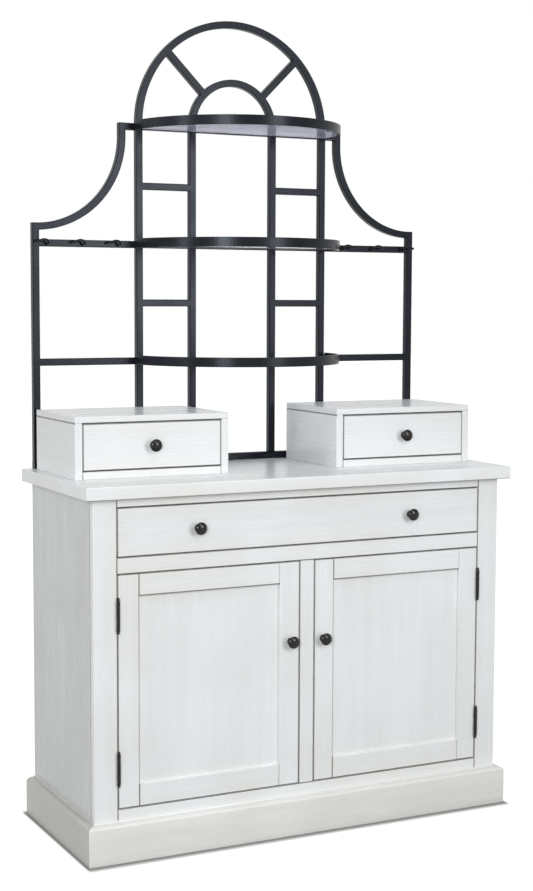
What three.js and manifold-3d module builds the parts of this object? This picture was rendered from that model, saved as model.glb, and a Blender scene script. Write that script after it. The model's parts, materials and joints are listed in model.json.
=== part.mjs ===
// A bakers rack: a sideboard with one wide drawer over two doors, two small drawer boxes on its
// top, and a rack of square metal tube that carries three half-round glass shelves.
// Millimetres, +Z up, the front faces -Y. Every group is laid out from the front plane of the
// face frame, and the last lines move the whole piece so that its origin is under its middle.

import * as THREE from "three";
import { ConvexGeometry } from "three/addons/geometries/ConvexGeometry.js";
import { mergeVertices } from "three/addons/utils/BufferGeometryUtils.js";
import Module from "manifold-3d";

const wasm = await Module();
wasm.setup();

// Fits
const clearance = 0.3;
const revealGap = 2;
const trayGap = 3;
const overrun = 4;
const weldDistance = 0.001;
const easedEdge = 1.5;

// Case
const caseWidth = 1169;
const caseDepth = 450;
const boardThickness = 20;
const shelfThickness = 18;
const backThickness = 6;
const shelfAboveSill = 280;
const shelfSetback = 30;

// Top slab
const slabThickness = 33;
const slabSideOverhang = 25;
const slabFrontOverhang = 27;
const slabBackOverhang = 13;
const slabEdge = 3;

// Face frame
const stileWidth = 62;
const mullionWidth = 41.2;
const topRailHeight = 21.7;
const drawerOpeningHeight = 123.1;
const middleRailHeight = 39.8;
const doorOpeningHeight = 584.4;
const doorSillHeight = 130;
const bottomRailHeight = 70;

// Plinth
const plinthHeight = 91;
const plinthThickness = 22;
const plinthBackProjection = 5;
const capHeight = 12;
const capBead = 3;
const capLedge = 1;
const capSegments = 8;

// Doors
const doorMemberWidth = 55.5;
const doorPanelRecess = 8;
const doorPanelThickness = 6;
const doorRabbet = 9;
const doorKnobAboveMiddle = 84;
const doorKnobFromEdge = 24.7;

// Butt hinges
const hingeInset = 101.6;
const hingeHeight = 76;
const leafThickness = 2;
const leafDepth = 16;
const knuckleRadius = 4.5;
const pinStandoff = 0.5;
const pinRadius = 2.4;
const pinTipRadius = 3.6;
const pinTipHeight = 7.5;
const pinTipShares = [[0.67, 0.25], [1, 0.5], [0.8, 0.85]];
const hingeSides = 16;

// Drawers
const drawerFrontThickness = 20;
const wideTrayWall = 12;
const wideTrayHeadroom = 26.8;
const wideTrayBackGap = 34;
const trayFloor = 8;
const wideKnobSpacing = 614;
const smallTrayWall = 10;
const smallTrayHeadroom = 28.8;
const smallTrayBackGap = 12;

// Knobs
const knobRadius = 16;
const knobProjection = 26;
const knobHeadDepth = 11;
const knobBaseRadius = 9.5;
const knobBaseDepth = 3;
const knobStemRadius = 6;
const knobSides = 24;
const knobCrownShares = [[1, 0.3], [0.97, 0.55], [0.86, 0.78], [0.62, 0.93], [0.32, 0.99]];

// Drawer boxes on the slab
const boxWidth = 419;
const boxDepth = 292;
const boxHeight = 157.5;
const boxEndInset = 31;
const boxBackGap = 15.3;
const boxTopThickness = 16;
const boxSide = 20;
const boxFloor = 20.4;
const boxBack = 10;

// Rack of square tube
const tube = 19;
const rackEndInset = 29.7;
const hoopRadius = 278.5;
const innerHoopRadius = 122;
const lowestShelf = 280.4;
const shelfPitch = 312.3;
const archAboveShelf = 10;
const postAboveHooks = 52.5;
const braceRise = 26.3;
const stubReach = 39.3;
const spokeAngle = Math.PI / 4;
const archSegments = 40;
const braceSegments = 20;

// Half-round shelves
const rimHeight = 25.4;
const rimThickness = 6;
const seatWidth = 13;
const seatThickness = 3;
const tabWidth = 8;
const tabsPerShelf = 3;
const tabAngle = Math.PI / 4.5;
const glassThickness = 6;
const glassGap = 1;
const rimSegments = 40;

// Hooks on the upper side bars
const hookWire = 3.4;
const hooksPerBar = 3;
const hookNearInset = 52;
const hookFarInset = 20.8;
const hookReach = 19;
const hookLength = 31;
const hookCrest = 8;
const hookRouteShares = [[0, -0.2, -0.5], [0, 0.5, -0.3], [0.12, 0.9, 0.7], [0.5, 1, 1], [1, 0.9, 0.35]];
const hookSteps = 10;
const hookSides = 6;

// Worked out from the sizes above: the case from the floor up, then across and back
const halfTube = tube / 2;
const doorOpeningBottom = doorSillHeight;
const doorOpeningTop = doorOpeningBottom + doorOpeningHeight;
const drawerOpeningBottom = doorOpeningTop + middleRailHeight;
const drawerOpeningTop = drawerOpeningBottom + drawerOpeningHeight;
const slabBottom = drawerOpeningTop + topRailHeight;
const slabTop = slabBottom + slabThickness;
const halfCase = caseWidth / 2;
const halfSlab = halfCase + slabSideOverhang;
const stileInner = halfCase - stileWidth;
const sideInner = halfCase - boardThickness;
const slabBack = caseDepth + slabBackOverhang;
const backFront = caseDepth - backThickness;
const rackFront = slabBack - tube;

// Materials
const paint = (color, roughness, metalness = 0) =>
  new THREE.MeshStandardMaterial({ color, roughness, metalness });
const whitewash = () => paint(0xe6e9ea, 0.6);
const innerBoard = () => paint(0xcfcac2, 0.75);
const blackMetal = () => paint(0x2a2e34, 0.4, 0.7);
const bronze = () => paint(0x2b2320, 0.42, 0.8);
const tintedGlass = () => paint(0xb9bccb, 0.08);

// Geometry helpers
function placed(parent, name, geometry, material) {
  const mesh = new THREE.Mesh(geometry, material);
  mesh.name = name;
  parent.add(mesh);
  return mesh;
}

// A box whose corners take exactly the given places, so that neighbours share their planes.
function block(xs, ys, zs) {
  const box = new THREE.BoxGeometry(1, 1, 1);
  const corners = box.attributes.position;
  const pick = (ends, unit) => ends[unit < 0 ? 0 : 1];
  for (let i = 0; i < corners.count; i += 1) {
    const place = [pick(xs, corners.getX(i)), pick(ys, corners.getY(i)), pick(zs, corners.getZ(i))];
    corners.setXYZ(i, ...place);
  }
  return box;
}

// A board whose twelve edges are eased by a small flat.
function easedBoard(xs, ys, zs, edge = easedEdge) {
  const inset = ([low, high]) => [low + edge, high - edge];
  const grids = [
    [xs, inset(ys), inset(zs)],
    [inset(xs), ys, inset(zs)],
    [inset(xs), inset(ys), zs],
  ];
  const corners = grids.flatMap(([gx, gy, gz]) =>
    gx.flatMap((x) => gy.flatMap((y) => gz.map((z) => new THREE.Vector3(x, y, z)))));
  return new ConvexGeometry(corners);
}

// An outline drawn in X and Z, carried along Y.
function plateAlongY(outline, [y0, y1], curveSegments) {
  const depth = y1 - y0;
  const plate = new THREE.ExtrudeGeometry(outline, { depth, curveSegments, bevelEnabled: false });
  return plate.rotateX(Math.PI / 2).translate(0, y1, 0);
}

// An outline drawn in X and Y, carried up Z.
function plateAlongZ(outline, [z0, z1], curveSegments) {
  const depth = z1 - z0;
  const plate = new THREE.ExtrudeGeometry(outline, { depth, curveSegments, bevelEnabled: false });
  return plate.translate(0, 0, z0);
}

// A profile drawn in Y and Z, carried along X.
function mouldingAlongX(profile, [x0, x1], curveSegments) {
  const depth = x1 - x0;
  const bar = new THREE.ExtrudeGeometry(profile, { depth, curveSegments, bevelEnabled: false });
  const turn = new THREE.Matrix4().makeBasis(
    new THREE.Vector3(0, 1, 0),
    new THREE.Vector3(0, 0, 1),
    new THREE.Vector3(1, 0, 0),
  );
  return bar.applyMatrix4(turn).translate(x0, 0, 0);
}

function polygon(points) {
  return new THREE.Shape(points.map(([x, y]) => new THREE.Vector2(x, y)));
}

function mirrored(outline, segments) {
  const points = outline.getPoints(segments);
  return new THREE.Shape(points.map((p) => new THREE.Vector2(-p.x, p.y)));
}

function solid(geometry) {
  const bare = geometry.clone();
  bare.deleteAttribute("normal");
  bare.deleteAttribute("uv");
  const merged = mergeVertices(bare, weldDistance);
  const vertProperties = merged.attributes.position.array;
  const triVerts = new Uint32Array(merged.index.array);
  return new wasm.Manifold(new wasm.Mesh({ numProp: 3, vertProperties, triVerts }));
}

function surface(manifold) {
  const { vertProperties, triVerts, numProp } = manifold.getMesh();
  const geometry = new THREE.BufferGeometry();
  geometry.setAttribute("position", new THREE.BufferAttribute(vertProperties, numProp));
  geometry.setIndex(new THREE.BufferAttribute(triVerts, 1));
  geometry.computeVertexNormals();
  return geometry;
}

const joined = (...parts) => surface(parts.map(solid).reduce((a, b) => a.add(b)));
const cut = (body, ...tools) =>
  surface(tools.map(solid).reduce((a, b) => a.subtract(b), solid(body)));
const common = (a, b) => surface(solid(a).intersect(solid(b)));

// The stretch from one distance to another on the left (-1) or right (+1) of the middle.
const span = (side, near, far) => (side < 0 ? [-far, -near] : [near, far]);
const sides = [["left", -1], ["right", 1]];

// A turned knob on a face at y = 0, its axis along -Y.
function knobGeometry() {
  const crownStart = knobProjection - knobHeadDepth;
  const profile = [
    new THREE.Vector2(0, 0),
    new THREE.Vector2(knobBaseRadius, 0),
    new THREE.Vector2(knobBaseRadius, knobBaseDepth),
    new THREE.Vector2(knobStemRadius, knobBaseDepth),
    new THREE.Vector2(knobStemRadius, crownStart),
    ...knobCrownShares.map(([radial, axial]) =>
      new THREE.Vector2(knobRadius * radial, crownStart + knobHeadDepth * axial)),
    new THREE.Vector2(0, knobProjection),
  ];
  return new THREE.LatheGeometry(profile, knobSides).rotateX(Math.PI);
}

// Case: sides, floor, shelf, drawer bearer and back
function addCase(group) {
  const boardFront = boardThickness;
  for (const [name, side] of sides) {
    const board = block(span(side, sideInner, halfCase), [boardFront, caseDepth], [0, slabBottom]);
    placed(group, `${name}_side_panel`, board, whitewash());
  }
  const inside = [clearance - sideInner, sideInner - clearance];
  const depth = [boardFront, backFront];
  const floorTop = doorOpeningBottom;
  const floorHigh = [floorTop - shelfThickness, floorTop];
  placed(group, "bottom_panel", block(inside, depth, floorHigh), innerBoard());
  const shelfTop = doorOpeningBottom + shelfAboveSill;
  const shelfHigh = [shelfTop - shelfThickness, shelfTop];
  placed(group, "inner_shelf", block(inside, [shelfSetback, backFront], shelfHigh), innerBoard());
  placed(group, "back_panel", block(inside, [backFront, caseDepth], [0, slabBottom]), innerBoard());

  const bearer = block(inside, depth, [drawerOpeningBottom - shelfThickness, drawerOpeningBottom]);
  const guideHigh = [drawerOpeningBottom - clearance, drawerOpeningBottom + shelfThickness];
  const guides = sides.map(([, side]) =>
    block(span(side, stileInner, sideInner - clearance), depth, guideHigh));
  placed(group, "drawer_bearer", joined(bearer, ...guides), innerBoard());
}

function addSlab(group) {
  const depth = [-slabFrontOverhang, slabBack];
  const slab = easedBoard([-halfSlab, halfSlab], depth, [slabBottom, slabTop], slabEdge);
  placed(group, "top_slab", slab, whitewash());
}

// The hinge leaf's recess in the edge of a stile or a door.
function leafRecess(side, middle, edgePlane, reach) {
  const across = span(side, edgePlane - reach, edgePlane + reach);
  const high = [middle - hingeHeight / 2 - clearance, middle + hingeHeight / 2 + clearance];
  return block(across, [-overrun, leafDepth + clearance], high);
}

const doorMiddle = (doorOpeningBottom + doorOpeningTop) / 2;
const hingeMiddles = { lower: doorOpeningBottom + hingeInset, upper: doorOpeningTop - hingeInset };
const hingeLine = stileInner - revealGap / 2;
const recessDepth = leafThickness + clearance - revealGap / 2 + clearance / 2;

// Face frame: stiles run to the floor behind the plinth, and the rails stand between them
function addFaceFrame(group) {
  const thick = [0, boardThickness];
  for (const [name, side] of sides) {
    const stile = block(span(side, stileInner, halfCase), thick, [0, slabBottom]);
    const recesses = Object.values(hingeMiddles)
      .map((z) => leafRecess(side, z, stileInner, recessDepth));
    placed(group, `${name}_stile`, cut(stile, ...recesses), whitewash());
  }
  const across = [-stileInner, stileInner];
  placed(group, "top_rail", block(across, thick, [drawerOpeningTop, slabBottom]), whitewash());
  const middleHigh = [doorOpeningTop, drawerOpeningBottom];
  placed(group, "middle_rail", block(across, thick, middleHigh), whitewash());
  const railBottom = doorOpeningBottom - bottomRailHeight;
  placed(group, "bottom_rail", block(across, thick, [railBottom, doorOpeningBottom]), whitewash());
  const middle = [-mullionWidth / 2, mullionWidth / 2];
  placed(group, "mullion", block(middle, thick, [doorOpeningBottom, doorOpeningTop]), whitewash());
}

// A plinth board against the plane at "wall"; "out" is +1 or -1, the way that it stands out of
// the case. Its cap is an ovolo, a narrow flat and a quarter-round bead.
function plinthProfile(wall, out) {
  const top = plinthHeight + capHeight;
  const at = (distance) => wall + out * distance;
  const profile = new THREE.Shape();
  profile.moveTo(wall, 0);
  profile.lineTo(at(plinthThickness), 0);
  profile.lineTo(at(plinthThickness), plinthHeight);
  const flat = capBead + capLedge;
  const ovolo = [plinthThickness - flat, capHeight - capBead];
  const [start, end] = out > 0 ? [0, Math.PI / 2] : [Math.PI, Math.PI / 2];
  profile.absellipse(at(flat), plinthHeight, ...ovolo, start, end, out < 0);
  profile.lineTo(at(capBead), top - capBead);
  profile.absellipse(wall, top - capBead, capBead, capBead, start, end, out < 0);
  return profile;
}

function addPlinth(group) {
  const reach = halfCase + plinthThickness;
  const back = caseDepth + plinthBackProjection;
  const height = [-overrun, plinthHeight + capHeight + overrun];
  const mitre = polygon([
    [-reach, -plinthThickness],
    [reach, -plinthThickness],
    [halfCase, 0],
    [-halfCase, 0],
  ]);
  const front = mouldingAlongX(plinthProfile(0, -1), [-reach, reach], capSegments);
  placed(group, "plinth_front", common(front, plateAlongZ(mitre, height)), whitewash());
  for (const [name, side] of sides) {
    const wall = side * halfCase;
    const board = plateAlongY(plinthProfile(wall, side), [-plinthThickness, back], capSegments);
    const past = reach + overrun;
    const plan = polygon([
      [wall, clearance],
      [side * past, clearance - plinthThickness - overrun],
      [side * past, back + overrun],
      [wall, back + overrun],
    ]);
    placed(group, `plinth_${name}`, common(board, plateAlongZ(plan, height)), whitewash());
  }
}

// A tray open at the top, its floor and walls in one piece.
function trayGeometry([x0, x1], [y0, y1], [z0, z1], wall) {
  const body = block([x0, x1], [y0, y1], [z0, z1]);
  const hollow = block([x0 + wall, x1 - wall], [y0 + wall, y1 - wall], [z0 + trayFloor, z1 + overrun]);
  return cut(body, hollow);
}

function addWideDrawer(group) {
  const reach = stileInner - revealGap;
  const frontLow = drawerOpeningBottom + revealGap;
  const frontHigh = drawerOpeningTop - revealGap;
  placed(group, "wide_drawer_front",
    easedBoard([-reach, reach], [0, drawerFrontThickness], [frontLow, frontHigh]), whitewash());
  const trayReach = stileInner - trayGap;
  placed(group, "wide_drawer_tray", trayGeometry(
    [-trayReach, trayReach],
    [drawerFrontThickness, backFront - wideTrayBackGap],
    [drawerOpeningBottom + clearance, drawerOpeningTop - wideTrayHeadroom],
    wideTrayWall,
  ), innerBoard());
  for (const [name, side] of sides) {
    const knob = placed(group, `wide_drawer_knob_${name}`, knobGeometry(), bronze());
    knob.position.set(side * wideKnobSpacing / 2, 0, (frontLow + frontHigh) / 2);
  }
}

// Doors: a frame rabbeted at the back for a flat panel
function addDoor(group, name, side) {
  const near = mullionWidth / 2 + revealGap;
  const far = stileInner - revealGap;
  const low = doorOpeningBottom + revealGap;
  const high = doorOpeningTop - revealGap;
  const outer = easedBoard(span(side, near, far), [0, boardThickness], [low, high]);
  const inner = [near + doorMemberWidth, far - doorMemberWidth];
  const innerHigh = [low + doorMemberWidth, high - doorMemberWidth];
  const window = block(span(side, ...inner), [-overrun, boardThickness + overrun], innerHigh);
  const rabbet = block(
    span(side, inner[0] - doorRabbet, inner[1] + doorRabbet),
    [doorPanelRecess, boardThickness + overrun],
    [innerHigh[0] - doorRabbet, innerHigh[1] + doorRabbet],
  );
  const recesses = Object.values(hingeMiddles).map((z) => leafRecess(side, z, far, recessDepth));
  placed(group, `${name}_door_frame`, cut(outer, window, rabbet, ...recesses), whitewash());
  const panelFront = doorPanelRecess + clearance;
  const lip = doorRabbet - clearance;
  placed(group, `${name}_door_panel`, block(
    span(side, inner[0] - lip, inner[1] + lip),
    [panelFront, panelFront + doorPanelThickness],
    [innerHigh[0] - lip, innerHigh[1] + lip],
  ), whitewash());
  const knob = placed(group, `${name}_door_knob`, knobGeometry(), bronze());
  knob.position.set(side * (near + doorKnobFromEdge), 0, doorMiddle + doorKnobAboveMiddle);
}

// Butt hinge: the frame leaf carries the end knuckles and the tipped pin, the door leaf turns
// on it by the middle knuckle. The pin stands just in front of the face frame.
const pinForward = knuckleRadius + pinStandoff;

function hingeCylinder(radius, [z0, z1]) {
  const rod = new THREE.CylinderGeometry(radius, radius, z1 - z0, hingeSides);
  return rod.rotateX(Math.PI / 2).translate(0, -pinForward, (z0 + z1) / 2);
}

function pinTip(end, up) {
  const profile = [
    new THREE.Vector2(0, -overrun),
    new THREE.Vector2(pinRadius, -overrun),
    ...pinTipShares.map(([radial, axial]) =>
      new THREE.Vector2(pinTipRadius * radial, pinTipHeight * axial)),
    new THREE.Vector2(0, pinTipHeight),
  ];
  const tip = new THREE.LatheGeometry(profile, hingeSides).rotateX(up * Math.PI / 2);
  return tip.translate(0, -pinForward, end);
}

function addHinge(frameGroup, doorGroup, name, side, level) {
  const z = hingeMiddles[level];
  const bottom = z - hingeHeight / 2;
  const top = z + hingeHeight / 2;
  const third = hingeHeight / 3;
  const slit = clearance / 2;
  const toFrame = (geometry) => geometry.translate(side * hingeLine, 0, 0);
  const leaf = (direction) => {
    const across = span(side * direction, slit, slit + leafThickness);
    return block(across, [-pinForward, leafDepth], [bottom, top]);
  };
  const middle = [bottom + third, top - third];
  const turning = [middle[0] + clearance, middle[1] - clearance];
  const room = hingeCylinder(knuckleRadius + clearance, middle);
  const frameLeaf = cut(leaf(1), room);
  const ends = [[bottom, middle[0]], [middle[1], top]].map((s) => hingeCylinder(knuckleRadius, s));
  const pin = hingeCylinder(pinRadius, [bottom, top]);
  const tips = [pinTip(bottom, -1), pinTip(top, 1)];
  placed(frameGroup, `${name}_${level}_hinge_frame_leaf`,
    toFrame(joined(frameLeaf, ...ends, pin, ...tips)), bronze());

  const endRooms = [[bottom - overrun, turning[0]], [turning[1], top + overrun]]
    .map((s) => hingeCylinder(knuckleRadius + clearance, s));
  const bore = hingeCylinder(pinRadius + clearance, [bottom - overrun, top + overrun]);
  const knuckle = joined(cut(leaf(-1), ...endRooms), hingeCylinder(knuckleRadius, turning));
  placed(doorGroup, `${name}_${level}_hinge_door_leaf`, toFrame(cut(knuckle, bore)), bronze());
}

// A drawer box: carcass, top board, and a drawer with one knob. Local origin: its front plane on
// the slab, at its middle.
function addDrawerBox(group, name) {
  const half = boxWidth / 2;
  const carcassTop = boxHeight - boxTopThickness;
  const insideReach = half - boxSide;
  const inside = [-insideReach, insideReach];
  const carcass = cut(
    block([-half, half], [0, boxDepth], [0, carcassTop]),
    block(inside, [-overrun, boxDepth - boxBack], [boxFloor, carcassTop + overrun]),
  );
  placed(group, `${name}_box_carcass`, carcass, whitewash());
  placed(group, `${name}_box_top`,
    easedBoard([-half, half], [0, boxDepth], [carcassTop, boxHeight]), whitewash());
  const frontReach = insideReach - revealGap;
  const frontLow = boxFloor + revealGap;
  const frontHigh = carcassTop - revealGap;
  const front = easedBoard([-frontReach, frontReach], [0, drawerFrontThickness], [frontLow, frontHigh]);
  placed(group, `${name}_box_drawer_front`, front, whitewash());
  const trayReach = insideReach - trayGap;
  placed(group, `${name}_box_drawer_tray`, trayGeometry(
    [-trayReach, trayReach],
    [drawerFrontThickness, boxDepth - boxBack - smallTrayBackGap],
    [boxFloor + clearance, carcassTop - smallTrayHeadroom],
    smallTrayWall,
  ), innerBoard());
  const knob = placed(group, `${name}_box_knob`, knobGeometry(), bronze());
  knob.position.set(0, 0, (frontLow + frontHigh) / 2);
}

// Rack. Local origin: on the slab, at the front face of the tubes.
const rackDepth = [0, tube];
const hoopFace = hoopRadius + halfTube;
const outerPost = halfSlab - rackEndInset - halfTube;
const hookLevel = lowestShelf + shelfPitch;
const topShelf = hookLevel + shelfPitch;
const archCentre = topShelf + archAboveShelf;
const postTop = hookLevel + postAboveHooks;

function hoopOutline(radius) {
  const outline = new THREE.Shape();
  outline.moveTo(radius + halfTube, tube);
  outline.lineTo(radius + halfTube, archCentre);
  outline.absarc(0, archCentre, radius + halfTube, 0, Math.PI, false);
  outline.lineTo(-radius - halfTube, tube);
  outline.lineTo(halfTube - radius, tube);
  outline.lineTo(halfTube - radius, archCentre);
  outline.absarc(0, archCentre, radius - halfTube, Math.PI, 0, true);
  outline.lineTo(radius - halfTube, tube);
  return outline;
}

// A spoke between the two arches, at an angle up from the middle.
function spoke(side) {
  const start = innerHoopRadius;
  const end = Math.sqrt((hoopRadius - halfTube) ** 2 - halfTube ** 2) - clearance;
  const bar = block([start, end], rackDepth, [-halfTube, halfTube]);
  const turn = side < 0 ? Math.PI - spokeAngle : spokeAngle;
  return bar.rotateY(-turn).translate(0, 0, archCentre);
}

function rung(side, z) {
  const across = span(side, innerHoopRadius, hoopRadius - halfTube);
  return block(across, rackDepth, [z - halfTube, z + halfTube]);
}

// An outer post that turns into a quarter-round brace, and a short stub from that to the hoop.
function wingOutline() {
  const centre = topShelf - braceRise;
  const across = outerPost - hoopFace - stubReach;
  const up = centre - postTop + halfTube;
  const foot = Math.asin(halfTube / (across + halfTube));
  const outline = new THREE.Shape();
  outline.moveTo(outerPost + halfTube, tube);
  outline.lineTo(outerPost + halfTube, postTop);
  outline.lineTo(outerPost, postTop);
  const under = [across - halfTube, up - halfTube, Math.PI * 1.5, Math.PI, true];
  outline.absellipse(outerPost, centre, ...under);
  outline.lineTo(outerPost - across + halfTube, topShelf + halfTube);
  outline.lineTo(hoopFace, topShelf + halfTube);
  outline.lineTo(hoopFace, topShelf - halfTube);
  outline.lineTo(outerPost - across - halfTube, topShelf - halfTube);
  outline.lineTo(outerPost - across - halfTube, centre);
  const over = [across + halfTube, up + halfTube, Math.PI, Math.PI * 1.5 - foot, false];
  outline.absellipse(outerPost, centre, ...over);
  outline.lineTo(outerPost - halfTube, tube);
  return outline;
}

// A wire hook on the front of a side bar: it comes forward, rises over a crest and runs outward.
function hookGeometry(side, x, z) {
  const route = new THREE.CatmullRomCurve3(hookRouteShares.map(([along, forward, up]) =>
    new THREE.Vector3(x + side * hookLength * along, -hookReach * forward, z + hookCrest * up)));
  const section = new THREE.Shape().absarc(0, 0, hookWire, 0, 2 * Math.PI, false);
  return new THREE.ExtrudeGeometry(section, {
    steps: hookSteps,
    curveSegments: hookSides,
    extrudePath: route,
    bevelEnabled: false,
  });
}

function hookBar(side, z) {
  const end = outerPost - halfTube;
  const bar = block(span(side, hoopFace, end), rackDepth, [z - halfTube, z + halfTube]);
  const first = hoopFace + hookNearInset;
  const spacing = (end - hookFarInset - first) / (hooksPerBar - 1);
  const hooks = Array.from({ length: hooksPerBar }, (_, i) =>
    hookGeometry(side, side * (first + i * spacing), z));
  return joined(bar, ...hooks);
}

// The rim stands in front of the hoops, its underside level with that of the side bars: a half
// ring on edge, which a flat strip closes along the posts. The glass lies on the strip and on
// small tabs.
function rimGeometry(z) {
  const radius = hoopFace + rimThickness;
  const band = new THREE.Shape();
  band.absarc(0, 0, radius, Math.PI, 2 * Math.PI, false);
  band.absarc(0, 0, hoopFace, 2 * Math.PI, Math.PI, true);
  const low = z - halfTube;
  const seat = [low, low + seatThickness];
  const lap = radius - rimThickness / 2;
  const strip = block([-lap, lap], [-seatWidth, 0], seat);
  const tabs = Array.from({ length: tabsPerShelf }, (_, i) => {
    const tab = block([-tabWidth / 2, tabWidth / 2], [-lap, seatWidth - hoopFace], seat);
    return tab.rotateZ((i - (tabsPerShelf - 1) / 2) * tabAngle);
  });
  return joined(plateAlongZ(band, [low, low + rimHeight], rimSegments), strip, ...tabs);
}

function glassGeometry(z) {
  const radius = hoopFace - glassGap;
  const sheet = new THREE.Shape();
  const low = z - halfTube + seatThickness + clearance;
  const setback = Math.asin(glassGap / radius);
  sheet.absarc(0, 0, radius, Math.PI + setback, 2 * Math.PI - setback, false);
  return plateAlongZ(sheet, [low, low + glassThickness], rimSegments);
}

function addRack(group) {
  const barEnd = outerPost - halfTube;
  const reach = outerPost + halfTube;
  placed(group, "rack_base_bar", block([-reach, reach], rackDepth, [0, tube]), blackMetal());
  placed(group, "rack_outer_hoop",
    plateAlongY(hoopOutline(hoopRadius), rackDepth, archSegments), blackMetal());
  const rungLevels = [lowestShelf + shelfPitch / 2, topShelf - shelfPitch / 2];
  const spokes = sides.map(([, side]) => spoke(side));
  const rungs = sides.flatMap(([, side]) => rungLevels.map((z) => rung(side, z)));
  const innerHoop = plateAlongY(hoopOutline(innerHoopRadius), rackDepth, archSegments);
  placed(group, "rack_inner_hoop", joined(innerHoop, ...spokes, ...rungs), blackMetal());
  for (const [name, side] of sides) {
    const outline = side < 0 ? mirrored(wingOutline(), braceSegments) : wingOutline();
    placed(group, `rack_${name}_wing`, plateAlongY(outline, rackDepth, braceSegments), blackMetal());
    placed(group, `rack_${name}_hook_bar`, hookBar(side, hookLevel), blackMetal());
    const low = [lowestShelf - halfTube, lowestShelf + halfTube];
    const sideBar = block(span(side, hoopFace, barEnd), rackDepth, low);
    placed(group, `rack_${name}_side_bar`, sideBar, blackMetal());
  }
  [["lower", 0], ["middle", 1], ["upper", 2]].forEach(([name, i]) => {
    const z = lowestShelf + i * shelfPitch;
    placed(group, `${name}_shelf_rim`, rimGeometry(z), blackMetal());
    placed(group, `${name}_shelf_glass`, glassGeometry(z), tintedGlass());
  });
}

// The whole piece, as nested groups
function group(parent, x = 0, y = 0, z = 0) {
  const child = new THREE.Group();
  child.position.set(x, y, z);
  parent.add(child);
  return child;
}

const bakersRack = new THREE.Group();
const middleDepth = (slabBack - slabFrontOverhang) / 2;
const piece = group(bakersRack, 0, -middleDepth, 0);

const sideboard = group(piece);
addCase(sideboard);
addFaceFrame(sideboard);
addPlinth(sideboard);
addSlab(sideboard);
addWideDrawer(group(piece));
for (const [name, side] of sides) {
  const door = group(piece);
  addDoor(door, name, side);
  for (const level of Object.keys(hingeMiddles)) addHinge(sideboard, door, name, side, level);
  const boxMiddle = side * (halfSlab - boxEndInset - boxWidth / 2);
  addDrawerBox(group(piece, boxMiddle, rackFront - boxBackGap - boxDepth, slabTop), name);
}
addRack(group(piece, 0, rackFront, slabTop));

export default bakersRack;
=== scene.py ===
# %% [markdown]
# # A bakers rack, dressed
# The real piece is a sideboard of whitewashed wood, two small drawer boxes that stand on it, and
# behind them a rack of black square tube with three half-round glass shelves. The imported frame
# already holds every part at its real size and place. What it lacks is what the eye looks for:
# eased edges that catch light, brushed grain, satin metal, clear glass. So this script keeps the
# frame as it is and puts a finer surface in the place of each part, worked out from the frame's
# own boxes.

import json
import math

import bpy
import numpy as np
from mathutils import Matrix, Vector


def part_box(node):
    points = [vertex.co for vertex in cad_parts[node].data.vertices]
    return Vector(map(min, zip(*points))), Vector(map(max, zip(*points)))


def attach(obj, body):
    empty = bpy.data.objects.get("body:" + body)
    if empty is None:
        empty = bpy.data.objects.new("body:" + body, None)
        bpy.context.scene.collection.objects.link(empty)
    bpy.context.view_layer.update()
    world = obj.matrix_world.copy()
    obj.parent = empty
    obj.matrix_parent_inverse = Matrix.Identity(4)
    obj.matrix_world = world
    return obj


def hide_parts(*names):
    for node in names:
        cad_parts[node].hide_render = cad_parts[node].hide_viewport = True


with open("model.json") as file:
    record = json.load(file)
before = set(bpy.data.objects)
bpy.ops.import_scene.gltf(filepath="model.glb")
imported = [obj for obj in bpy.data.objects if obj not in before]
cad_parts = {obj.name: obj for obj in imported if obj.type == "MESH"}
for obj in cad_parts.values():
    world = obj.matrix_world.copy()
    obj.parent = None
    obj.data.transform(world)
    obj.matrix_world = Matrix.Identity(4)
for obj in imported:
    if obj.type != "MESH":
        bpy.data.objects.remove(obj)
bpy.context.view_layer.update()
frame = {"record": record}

# %% [markdown]
# ## From numbers to a mesh
# Every piece below is one or more forms. A form is a set of points, the faces between them, and
# a flag for each face that says whether it is shaded smooth. Broad faces stay flat and only the
# small rounds between them are smooth, so that a board reads as a board. Wood also carries, at
# each point, its place in its own board and the board's half sizes, which the grain reads later.

# %% Forms
MM = 0.001
SAME_POINT = 7


class Form:
    """Points (n by 3), faces as lists of corners, and per face whether it is shaded smooth."""

    def __init__(self, points, faces, smooth, place=None, half=None):
        self.points = np.asarray(points, float)
        self.faces = faces
        self.smooth = smooth
        self.place = self.points if place is None else place
        self.half = np.ones_like(self.points) if half is None else half


def closed(points, smooth=True):
    """Quads over a grid of points whose rows are rings, and a flat cap on the first and the last
    ring. Points that coincide are merged, and faces that this collapses are dropped. Where the
    sum of a . (b x c) / 6 over all triangles is negative, every face is reversed. That sum would
    be the volume if the caps ran opposite ways round. They run the same way, so the first cap
    looks inwards, and on a thin wire the sum can go wrong and leave its sides inside out."""
    rows, columns = points.shape[:2]
    near = np.arange(rows * columns).reshape(rows, columns)
    right = np.roll(near, -1, axis=1)
    quads = np.stack([near[:-1], right[:-1], right[1:], near[1:]], axis=-1).reshape(-1, 4)
    keys = np.round(points.reshape(-1, 3), SAME_POINT) + 0.0
    unique, inverse = np.unique(keys, axis=0, return_inverse=True)
    inverse = inverse.reshape(-1)
    flags = [*np.broadcast_to(smooth, (rows - 1, columns)).ravel().tolist(), False, False]
    rings = [dict.fromkeys(inverse[ring].tolist()) for ring in (*quads, near[0], near[-1])]
    faces = [list(ring) for ring in rings if len(ring) > 2]
    flags = [flag for ring, flag in zip(rings, flags) if len(ring) > 2]
    fans = [(f[0], f[i], f[i + 1]) for f in faces for i in range(1, len(f) - 1)]
    a, b, c = (unique[[fan[i] for fan in fans]] for i in range(3))
    if np.einsum("ij,ij->", a, np.cross(b, c)) < 0:
        faces = [ring[::-1] for ring in faces]
    return unique, faces, flags


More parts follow.
